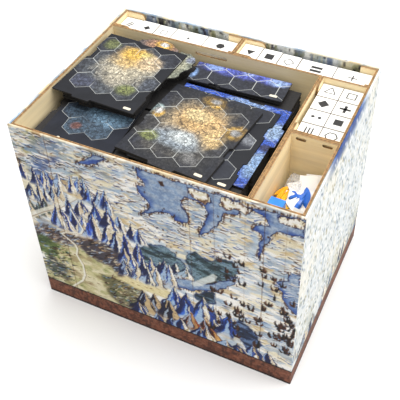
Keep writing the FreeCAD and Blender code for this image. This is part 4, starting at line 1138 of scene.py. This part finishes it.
TABS = (("front", -20.0, 24.0, 4.0), ("back", 10.0, 24.0, -4.0), ("left", 16.0, 22.0, -4.0),
        ("right", -10.0, 22.0, -4.0))
tile_pile("left_tile_pile_boards", "left_tile_pile",
          [((117.0, 135.0), TABS, (-133.0, 12.0), 331.9, 7, 2.44, 1.2, 0.9, 3)])
CORRIDOR = ((146.0, 46.0), (26.0, 73.5), 1.5)
tile_pile("corridor_tile_boards", "corridor_tiles", [
    ((141.0, 41.0), (("front", -20.0, 16.0, 2.0), ("back", 20.0, 16.0, -3.0)), CORRIDOR[1], 329.4, 3, 2.25,
     0.8, 1.2, 8)])
tile_pile("tile_stack_boards", "tile_stack", [
    ((150.0, 118.0), TABS, (-121.0, -87.0), 6.0, 143, 2.245, 1.2, 0.5, 21),
    ((150.0, 118.0), TABS, (-121.0, 36.5), 6.0, 143, 2.245, 1.2, 0.5, 22),
    ((150.0, 118.0), TABS, (38.0, -87.0), 6.0, 143, 2.245, 1.2, 0.5, 23),
    ((150.0, 118.0), TABS, (38.0, 36.5), 6.0, 143, 2.245, 1.2, 0.5, 24)])
corridor_face = tile_print("corridor_print", CORRIDOR[1], CORRIDOR[2], CORRIDOR[0], (
    ((0, 23), (110, 22), (0.07, 0.09, 0.34), 1.0), ((-46, 18), (18, 9), (0.17, 0.25, 0.52), 0.9),
    ((56, 16), (22, 12), (0.20, 0.28, 0.56), 0.9), ((10, 20), (16, 7), (0.20, 0.25, 0.50), 0.8),
    ((-70, -6), (9, 16), (0.17, 0.27, 0.56), 0.9)), rock=0.5, shift=(-28, -2), reach=-6.0, margin=1.0)
tile("corridor_tile_print", "corridor_tiles", "corridor_tiles", *CORRIDOR, 338.1, 2.2,
     (("front", -30.0, 20.0, -3.0), ("left", 0.0, 14.0, -3.0)), corridor_face, label=(58, -15))


def broken_edge_tile(name, outline, low, high, face):
    """A tile whose die-cut edge follows ragged rock, lying out past the rest of the left pile."""
    shape = bmesh.new()
    foot = shape.faces.new([shape.verts.new((x * mm, y * mm, low * mm)) for x, y in outline])
    up = bmesh.ops.extrude_face_region(shape, geom=[foot])
    bmesh.ops.translate(shape, verts=[part for part in up["geom"] if isinstance(part, bmesh.types.BMVert)],
                        vec=(0, 0, (high - low) * mm))
    bmesh.ops.recalc_face_normals(shape, faces=shape.faces)
    for one in shape.faces:
        one.material_index = 0 if one.normal.z > 0.9 else 1
    mesh = bpy.data.meshes.new(name)
    shape.to_mesh(mesh)
    shape.free()
    mesh.materials.append(face)
    mesh.materials.append(core_material)
    made = new_object(name, mesh)
    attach(made, "left_tile_pile")
    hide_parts("left_tile_pile")


lava_face = tile_print("lava_vent_print", (-110.0, 92.0), 0.0, (300.0, 300.0), (
    ((0, 0), (90, 60), (0.10, 0.085, 0.085), 1.0), ((0, 0), (36, 20), (0.36, 0.20, 0.12), 0.9),
    ((4, 3), (20, 13), FLAME, 1.0), ((5, 4), (10, 7), GLARE, 1.0)), reach=-300.0, line=0.0)
broken_edge_tile("lava_tile_print", [(-146, 62), (-84, 62), (-78, 72), (-76, 82), (-81, 92), (-88, 95),
                                     (-94, 102), (-104, 104),
                                     (-112, 107), (-122, 103), (-130, 104), (-138, 98), (-144, 96),
                                     (-149, 86), (-147, 74)],
                 349.1, 351.2, lava_face)
rock_face = tile_print("rock_shelf_print", (-58.0, 56.0), 0.0, (300.0, 300.0), (
    ((0, 0), (90, 60), (0.17, 0.18, 0.14), 1.0), ((-4, 6), (13, 30), (0.30, 0.30, 0.22), 0.95),
    ((8, 20), (12, 12), (0.16, 0.18, 0.24), 0.9)), reach=-300.0, line=0.0)
broken_edge_tile("rock_tile_print", [(-78, 16), (-68, 18), (-62, 24), (-55, 27), (-51, 34), (-53, 40),
                                     (-50, 48), (-46, 52),
                                     (-43, 60), (-46, 66), (-44, 74), (-48, 82), (-54, 86), (-60, 90),
                                     (-66, 88), (-74, 90),
                                     (-78, 80)], 349.1, 351.2, rock_face)

# ---------------------------------------------------------------- tuck boxes of cards
# Plain white cartons stood on end: a tucked lid with a cut edge on three sides, soft folded corners, and on
# each lid one plain black shape, such as bars, a square or a triangle, that tells the sets apart.
card_material, card_surface = new_material("white_carton", 0.5)
tree = card_material.node_tree
place = add(tree, "TexCoord").outputs["Object"]
pulp = add(tree, "TexNoise", {"Vector": place, "Scale": 1200.0, "Detail": 3.0})
warm_patch = add(tree, "TexNoise", {"Vector": place, "Scale": 30.0, "Detail": 2.0})
pulp_tone = add(tree, "MixRGB", {0: pulp.outputs["Fac"], 1: (0.90, 0.89, 0.86, 1),
                                 2: (0.80, 0.79, 0.76, 1)})
warm_tone = add(tree, "MapRange", {"Value": warm_patch.outputs["Fac"], 1: 0.35, 2: 0.65, 3: 0.94, 4: 1.0})
carton_tone = add(tree, "MixRGB", {0: 1.0, 1: pulp_tone.outputs[0], 2: warm_tone.outputs[0]},
                  blend_type="MULTIPLY")
tree.links.new(carton_tone.outputs[0], card_surface.inputs["Base Color"])
carton_bump = add(tree, "Bump", {"Height": pulp.outputs["Fac"], "Strength": 0.08, "Distance": 0.0002})
tree.links.new(carton_bump.outputs[0], card_surface.inputs["Normal"])
ink_material, ink_surface = new_material("black_print", 0.55)
tree = ink_material.node_tree
ink_noise = add(tree, "TexNoise", {"Vector": add(tree, "TexCoord").outputs["Object"], "Scale": 900.0,
                                   "Detail": 3.0})
ink_tone = add(tree, "MixRGB", {0: ink_noise.outputs["Fac"], 1: (0.006, 0.006, 0.007, 1),
                                2: (0.035, 0.034, 0.034, 1)})
tree.links.new(ink_tone.outputs[0], ink_surface.inputs["Base Color"])
cut_material, cut_surface = new_material("carton_cut_edge", 0.8)
tree = cut_material.node_tree
cut_noise = add(tree, "TexNoise", {"Vector": add(tree, "TexCoord").outputs["Object"], "Scale": 900.0})
cut_tone = add(tree, "MixRGB", {0: cut_noise.outputs["Fac"], 1: (0.34, 0.28, 0.22, 1),
                                2: (0.20, 0.16, 0.12, 1)})
tree.links.new(cut_tone.outputs[0], cut_surface.inputs["Base Color"])


def ribbon(points, start, end):
    """A tapered stripe along points."""
    points = [Vector(p) for p in points]
    left, right = [], []
    for i, p in enumerate(points):
        ahead = (points[min(i + 1, len(points) - 1)] - points[max(i - 1, 0)]).normalized()
        half = (start + (end - start) * i / (len(points) - 1)) / 2
        left.append(p + Vector((-ahead.y, ahead.x)) * half)
        right.append(p - Vector((-ahead.y, ahead.x)) * half)
    return left + right[::-1]


def regular(sides, radius, turn=0.0, x=0.0, y=0.0):
    angles = [math.radians(turn + 360 * i / sides) for i in range(sides)]
    return [(x + radius * math.cos(a), y + radius * math.sin(a)) for a in angles]


def hollow(sides, radius, width, turn=0.0):
    corners = regular(sides, radius, turn)
    return [ribbon([corners[i - 1], corners[i]], width, width) for i in range(sides)]


def bars(count, length, width, gap, turn=0.0):
    """Parallel strokes, side by side."""
    a = math.radians(turn)
    along, aside = Vector((math.cos(a), math.sin(a))), Vector((-math.sin(a), math.cos(a)))
    middles = [aside * gap * (i - (count - 1) / 2) for i in range(count)]
    return [ribbon([m - along * length / 2, m + along * length / 2], width, width) for m in middles]


MARKS = {
    "left_card_box_1": bars(2, 9.0, 1.6, 3.4, 60),
    "left_card_box_2": [regular(4, 4.4)],
    "left_card_box_3": hollow(4, 5.0, 0.7, 45),
    "left_card_box_4": [regular(12, 1.6)],
    "left_card_box_5": [regular(6, 5.4)],
    "right_card_box_1": [regular(3, 6.0, 30)],
    "right_card_box_2": [regular(4, 7.0, 45)],
    "right_card_box_3": hollow(4, 6.0, 0.9),
    "right_card_box_4": bars(2, 13.0, 4.0, 6.4),
    "right_card_box_5": bars(1, 10.0, 1.4, 0.0) + bars(1, 10.0, 1.4, 0.0, 90),
    "side_card_box_1": hollow(3, 7.0, 1.1, 90),
    "side_card_box_2": hollow(4, 6.6, 1.2, 45),
    "side_card_box_3": [regular(4, 6.4)],
    "side_card_box_4": bars(1, 12.0, 3.0, 0.0) + bars(1, 12.0, 3.0, 0.0, 90),
    "side_card_box_5": [regular(12, 2.0, 0, -3.6, 0), regular(12, 2.0, 0, 3.6, 0)],
    "side_card_box_6": [regular(4, 6.6, 45)],
    "side_card_box_7": bars(3, 11.0, 1.5, 3.6, 90),
    "side_card_box_8": hollow(6, 6.4, 1.3),
}


def slab(shape, low, high, round_by, index, segments=2):
    """A block with softened edges, added to a mesh under construction, in millimetres."""
    made = bmesh.ops.create_cube(shape, size=1.0,
                                 matrix=Matrix.Translation([(a + b) / 2 for a, b in zip(low, high)])
                                 @ Matrix.Diagonal([b - a for a, b in zip(low, high)] + [1.0]))["verts"]
    edges = list({edge for vert in made for edge in vert.link_edges})
    bevelled = bmesh.ops.bevel(shape, geom=edges, offset=round_by, segments=segments, affect="EDGES",
                               profile=0.6)
    faces = {one for vert in bevelled["verts"] for one in vert.link_faces}
    for one in faces:
        one.material_index = index
    return {vert for one in faces for vert in one.verts}


for name, outlines in MARKS.items():
    low, high = [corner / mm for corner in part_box(name)]
    shape = bmesh.new()
    slab(shape, (low.x + 0.15, low.y + 0.15, low.z), (high.x - 0.15, high.y - 0.15, high.z - 2.6), 0.5, 0)
    slab(shape, (low.x + 0.15, low.y + 0.15, high.z - 2.7), (high.x - 0.15, high.y - 0.15, high.z - 0.9),
         0.5, 1)
    slab(shape, (low.x + 0.45, low.y + 0.45, high.z - 1.0), (high.x - 0.45, high.y - 1.2, high.z - 0.05),
         0.16, 0, 1)
    middle = ((low.x + high.x) / 2, (low.y + high.y) / 2)
    for outline in outlines:
        ring = [shape.verts.new((middle[0] + 1.3 * p[0], middle[1] + 1.3 * p[1], high.z - 0.06))
                for p in outline]
        face = shape.faces.new(ring)
        face.normal_update()
        if face.normal.z > 0:
            face.normal_flip()
        raised = bmesh.ops.extrude_face_region(shape, geom=[face])["geom"]
        bmesh.ops.translate(shape, verts=[part for part in raised if isinstance(part, bmesh.types.BMVert)],
                            vec=(0, 0, 0.07))
        for one in {one for part in raised if isinstance(part, bmesh.types.BMVert)
                    for one in part.link_faces} | {face}:
            one.material_index = 2
    bmesh.ops.recalc_face_normals(shape, faces=shape.faces)
    bmesh.ops.scale(shape, vec=(mm, mm, mm), verts=shape.verts)
    mesh = bpy.data.meshes.new(name + "_carton")
    shape.to_mesh(mesh)
    shape.free()
    for material in (card_material, cut_material, ink_material):
        mesh.materials.append(material)
    carton = new_object(name + "_carton", mesh)
    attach(carton, name)
    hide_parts(name)

# ---------------------------------------------------------------- what lies in the token bin
# An upright blue plastic case with a rounded lid. Beside and behind it lies a clear bag with amber tokens,
# faceted blue crystals and small white cards.
case_material, case_surface = new_material("blue_case", 0.32)
tree = case_material.node_tree
place = add(tree, "TexCoord").outputs["Object"]
moulded = add(tree, "TexNoise", {"Vector": place, "Scale": 60.0, "Detail": 3.0})
case_tone = add(tree, "MixRGB", {0: moulded.outputs["Fac"], 1: (0.020, 0.17, 0.72, 1),
                                 2: (0.035, 0.27, 0.92, 1)})
tree.links.new(case_tone.outputs[0], case_surface.inputs["Base Color"])
case_grain = add(tree, "TexNoise", {"Vector": place, "Scale": 1500.0})
case_bump = add(tree, "Bump", {"Height": case_grain.outputs["Fac"], "Strength": 0.06, "Distance": 0.0002})
tree.links.new(case_bump.outputs[0], case_surface.inputs["Normal"])
case_low, case_high = [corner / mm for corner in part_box("token_case")]
shape = bmesh.new()
mid = (case_low + case_high) / 2
slab(shape, (mid.x - 9.9, mid.y - 10.9, case_low.z), (mid.x + 9.9, mid.y + 10.9, case_high.z - 14.5), 1.1,
     0, 3)
slab(shape, (mid.x - 9.4, mid.y - 10.4, case_high.z - 16), (mid.x + 9.4, mid.y + 10.4, case_high.z - 13),
     0.5, 0)
slab(shape, (mid.x - 9.9, mid.y - 10.9, case_high.z - 14), (mid.x + 9.9, mid.y + 10.9, case_high.z), 1.1, 0,
     3)
slab(shape, (mid.x - 8.6, mid.y - 11.2, case_high.z - 11), (mid.x + 8.6, mid.y - 10.7, case_high.z - 2.5),
     0.15, 1, 1)
bmesh.ops.rotate(shape, verts=shape.verts, cent=(mid.x, mid.y, 0),
                 matrix=Matrix.Rotation(math.radians(-2), 3, "Z"))
bmesh.ops.scale(shape, vec=(mm, mm, mm), verts=shape.verts)
mesh = bpy.data.meshes.new("token_case_moulding")
shape.to_mesh(mesh)
shape.free()
mesh.materials.append(case_material)
mesh.materials.append(card_material)
case = new_object("token_case_moulding", mesh)
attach(case, "token_case")
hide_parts("token_case")


def in_bag(name, shape, *materials):
    """Finishes a piece that lies in the bag: millimetres to metres, and its place in the part."""
    bmesh.ops.recalc_face_normals(shape, faces=shape.faces)
    bmesh.ops.scale(shape, vec=(mm, mm, mm), verts=shape.verts)
    mesh = bpy.data.meshes.new(name)
    shape.to_mesh(mesh)
    shape.free()
    for material in materials:
        mesh.materials.append(material)
    made = new_object(name, mesh)
    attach(made, "token_bag")
    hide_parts("token_bag")
    return made


def tumbled(shape, verts, place, angles):
    turn = Matrix.Rotation(math.radians(angles[2]), 4, "Z") @ Matrix.Rotation(math.radians(angles[1]), 4,
            "Y") @ Matrix.Rotation(math.radians(angles[0]), 4, "X")
    bmesh.ops.transform(shape, verts=list(verts), matrix=Matrix.Translation(place) @ turn)


rng = np.random.default_rng(5)
red_material, red_surface = new_material("red_print", 0.5)
tree = red_material.node_tree
red_noise = add(tree, "TexNoise", {"Vector": add(tree, "TexCoord").outputs["Object"], "Scale": 900.0})
red_tone = add(tree, "MixRGB", {0: red_noise.outputs["Fac"], 1: (0.42, 0.03, 0.03, 1),
                                2: (0.60, 0.07, 0.05, 1)})
tree.links.new(red_tone.outputs[0], red_surface.inputs["Base Color"])
shape = bmesh.new()
CARDS = (
    ((187, -128, 300), (62, 6, 4)), ((186, -124, 297), (70, 0, -3)), ((189, -118, 294), (58, -4, 6)),
    ((186, -113, 291), (52, 2, -8)),
    ((176, -98, 291), (24, -18, 30)), ((182, -92, 294), (20, 12, 62)), ((166, -84, 290), (16, 20, 12)),
    ((178, -50, 291), (38, 4, 20)),
    ((184, -43, 289), (46, -6, 8)), ((170, -60, 289), (18, 8, 44)), ((190, -78, 291), (30, 10, -14)))
for at, angles in CARDS:
    card = slab(shape, (-12, -18, -0.25), (12, 18, 0.25), 0.2, 0, 1)
    tumbled(shape, card, at, angles)
drop = slab(shape, (-2.2, -2.2, 0.2), (2.2, 2.2, 0.45), 0.1, 1, 1)
tumbled(shape, drop, (187, -128, 300), (62, 6, 4))
in_bag("small_cards", shape, card_material, red_material)

crystal_material, crystal_surface = new_material("blue_crystal", 0.18)
tree = crystal_material.node_tree
place = add(tree, "TexCoord").outputs["Object"]
cloudy = add(tree, "TexNoise", {"Vector": place, "Scale": 120.0, "Detail": 3.0})
crystal_tone = add(tree, "MixRGB", {0: cloudy.outputs["Fac"], 1: (0.010, 0.06, 0.40, 1),
                                    2: (0.05, 0.24, 0.85, 1)})
tree.links.new(crystal_tone.outputs[0], crystal_surface.inputs["Base Color"])
amber_material, amber_surface = new_material("amber_token", 0.22)
tree = amber_material.node_tree
place = add(tree, "TexCoord").outputs["Object"]
amber_cloud = add(tree, "TexNoise", {"Vector": place, "Scale": 90.0, "Detail": 2.0})
amber_tone = add(tree, "MixRGB", {0: amber_cloud.outputs["Fac"], 1: (0.95, 0.28, 0.01, 1),
                                  2: (1.0, 0.70, 0.04, 1)})
tree.links.new(amber_tone.outputs[0], amber_surface.inputs["Base Color"])
amber_surface.inputs["Subsurface Weight"].default_value = 0.35
amber_surface.inputs["Subsurface Radius"].default_value = (0.004, 0.002, 0.001)


def shard(shape, length, width, sides=6):
    """A faceted crystal: a prism drawn out to a blunt point at each end."""
    profile = ((-0.5, 0.18), (-0.30, 0.82), (0.10, 1.0), (0.36, 0.62), (0.5, 0.10))
    rings = []
    for at, share in profile:
        rings.append([shape.verts.new((length * at, width / 2 * share * math.cos(a) * rng.uniform(0.8, 1.1),
                                       width / 2 * share * math.sin(a)))
                      for a in [2 * math.pi * i / sides for i in range(sides)]])
    for near, far in zip(rings, rings[1:]):
        for i in range(sides):
            shape.faces.new((near[i], near[(i + 1) % sides], far[(i + 1) % sides], far[i]))
    shape.faces.new(rings[0][::-1])
    shape.faces.new(rings[-1])
    return [vert for ring in rings for vert in ring]


shape = bmesh.new()
for at, length, width, angles in (((176, -79, 296), 32, 12, (0, -30, 62)),
                                  ((183, -71, 297), 30, 13, (20, -20, 110)),
                                  ((170, -74, 295), 22, 9, (0, -14, 20)),
                                  ((178, -90, 298), 24, 9, (10, -30, 70)),
                                  ((194, -62, 293), 14, 9, (0, -20, 80)),
                                  ((196, -74, 294), 14, 9, (30, -10, 40)),
                                  ((192, -52, 292), 12, 8, (0, 30, 90)),
                                  ((166, -66, 291), 16, 8, (0, 0, 140))):
    tumbled(shape, shard(shape, length, width), at, angles)
in_bag("blue_crystals", shape, crystal_material)

shape = bmesh.new()
for at, length, width, angles in (((150, -82, 296), 34, 7, (0, -16, 74)),
                                  ((155, -86, 295), 36, 7, (0, -12, 80)),
                                  ((149, -68, 294), 30, 7, (0, 10, 66)),
                                  ((160, -94, 298), 18, 9, (0, -24, 120)),
                                  ((156, -72, 293), 26, 7, (0, 14, 100)),
                                  ((164, -102, 297), 18, 7, (0, 18, 60)),
                                  ((196, -90, 297), 10, 5, (0, 10, 40)),
                                  ((192, -94, 298), 10, 5, (0, 0, 110)),
                                  ((197, -97, 297), 9, 5, (0, 20, 70))):
    tumbled(shape, shard(shape, length, width, 7), at, angles)
in_bag("amber_tokens", shape, amber_material)

film_material, film_surface = new_material("clear_film", 0.16)
tree = film_material.node_tree
place = add(tree, "TexCoord").outputs["Object"]
creases = add(tree, "TexVoronoi", {"Vector": place, "Scale": 140.0}, feature="DISTANCE_TO_EDGE")
haze = add(tree, "TexNoise", {"Vector": place, "Scale": 160.0, "Detail": 4.0})
film_tone = add(tree, "MixRGB", {0: haze.outputs["Fac"], 1: (0.82, 0.83, 0.88, 1),
                                 2: (0.97, 0.97, 0.97, 1)})
tree.links.new(film_tone.outputs[0], film_surface.inputs["Base Color"])
film_bump = add(tree, "Bump", {"Height": creases.outputs["Distance"], "Strength": 0.9, "Distance": 0.0015})
tree.links.new(film_bump.outputs[0], film_surface.inputs["Normal"])
film_surface.inputs["Alpha"].default_value = 0.34


def pouch(shape, low, high, crumple, cuts=26):
    """A crumpled bag of thin film: a pillow with sharp random creases."""
    made = bmesh.ops.create_grid(shape, x_segments=cuts, y_segments=cuts, size=1.0)["verts"]
    extruded = bmesh.ops.extrude_face_region(shape,
                                             geom=list({one for vert in made
                                                        for one in vert.link_faces}))["geom"]
    upper = [part for part in extruded if isinstance(part, bmesh.types.BMVert)]
    whole_bag = list({vert for vert in made if vert.is_valid} | set(upper))
    for vert in upper:
        vert.co.z = 1.0
    span = [b - a for a, b in zip(low, high)]
    for vert in whole_bag:
        u, v, top = vert.co.x, vert.co.y, vert.co.z > 0.5
        x, y = low[0] + span[0] * (u + 1) / 2, low[1] + span[1] * (v + 1) / 2
        dome = math.sqrt(max(0.0, (1 - u ** 4) * (1 - v ** 4)))
        crease = abs(float(noise(np.array(x), np.array(y), 9.0, 3))
                     - 0.5) * 2 + abs(float(noise(np.array(x + 60), np.array(y + 9), 4.0, 2)) - 0.5)
        z = low[2] + span[2] * (0.35 + (0.62 if top else -0.33) * dome) + (crumple * (crease - 0.5)
                * dome if top else 0)
        vert.co = (x + crumple * 0.3 * (crease - 0.5) * dome, y, max(low[2], min(z, high[2])))


shape = bmesh.new()
pouch(shape, (143, -116, 252), (201, -26, 287), 5.0)
pouch(shape, (146, -62, 270), (170, -28, 300.5), 7.0, 22)
pouch(shape, (166, -124, 280), (188, -96, 302), 5.0, 16)
in_bag("clear_bags", shape, film_material)
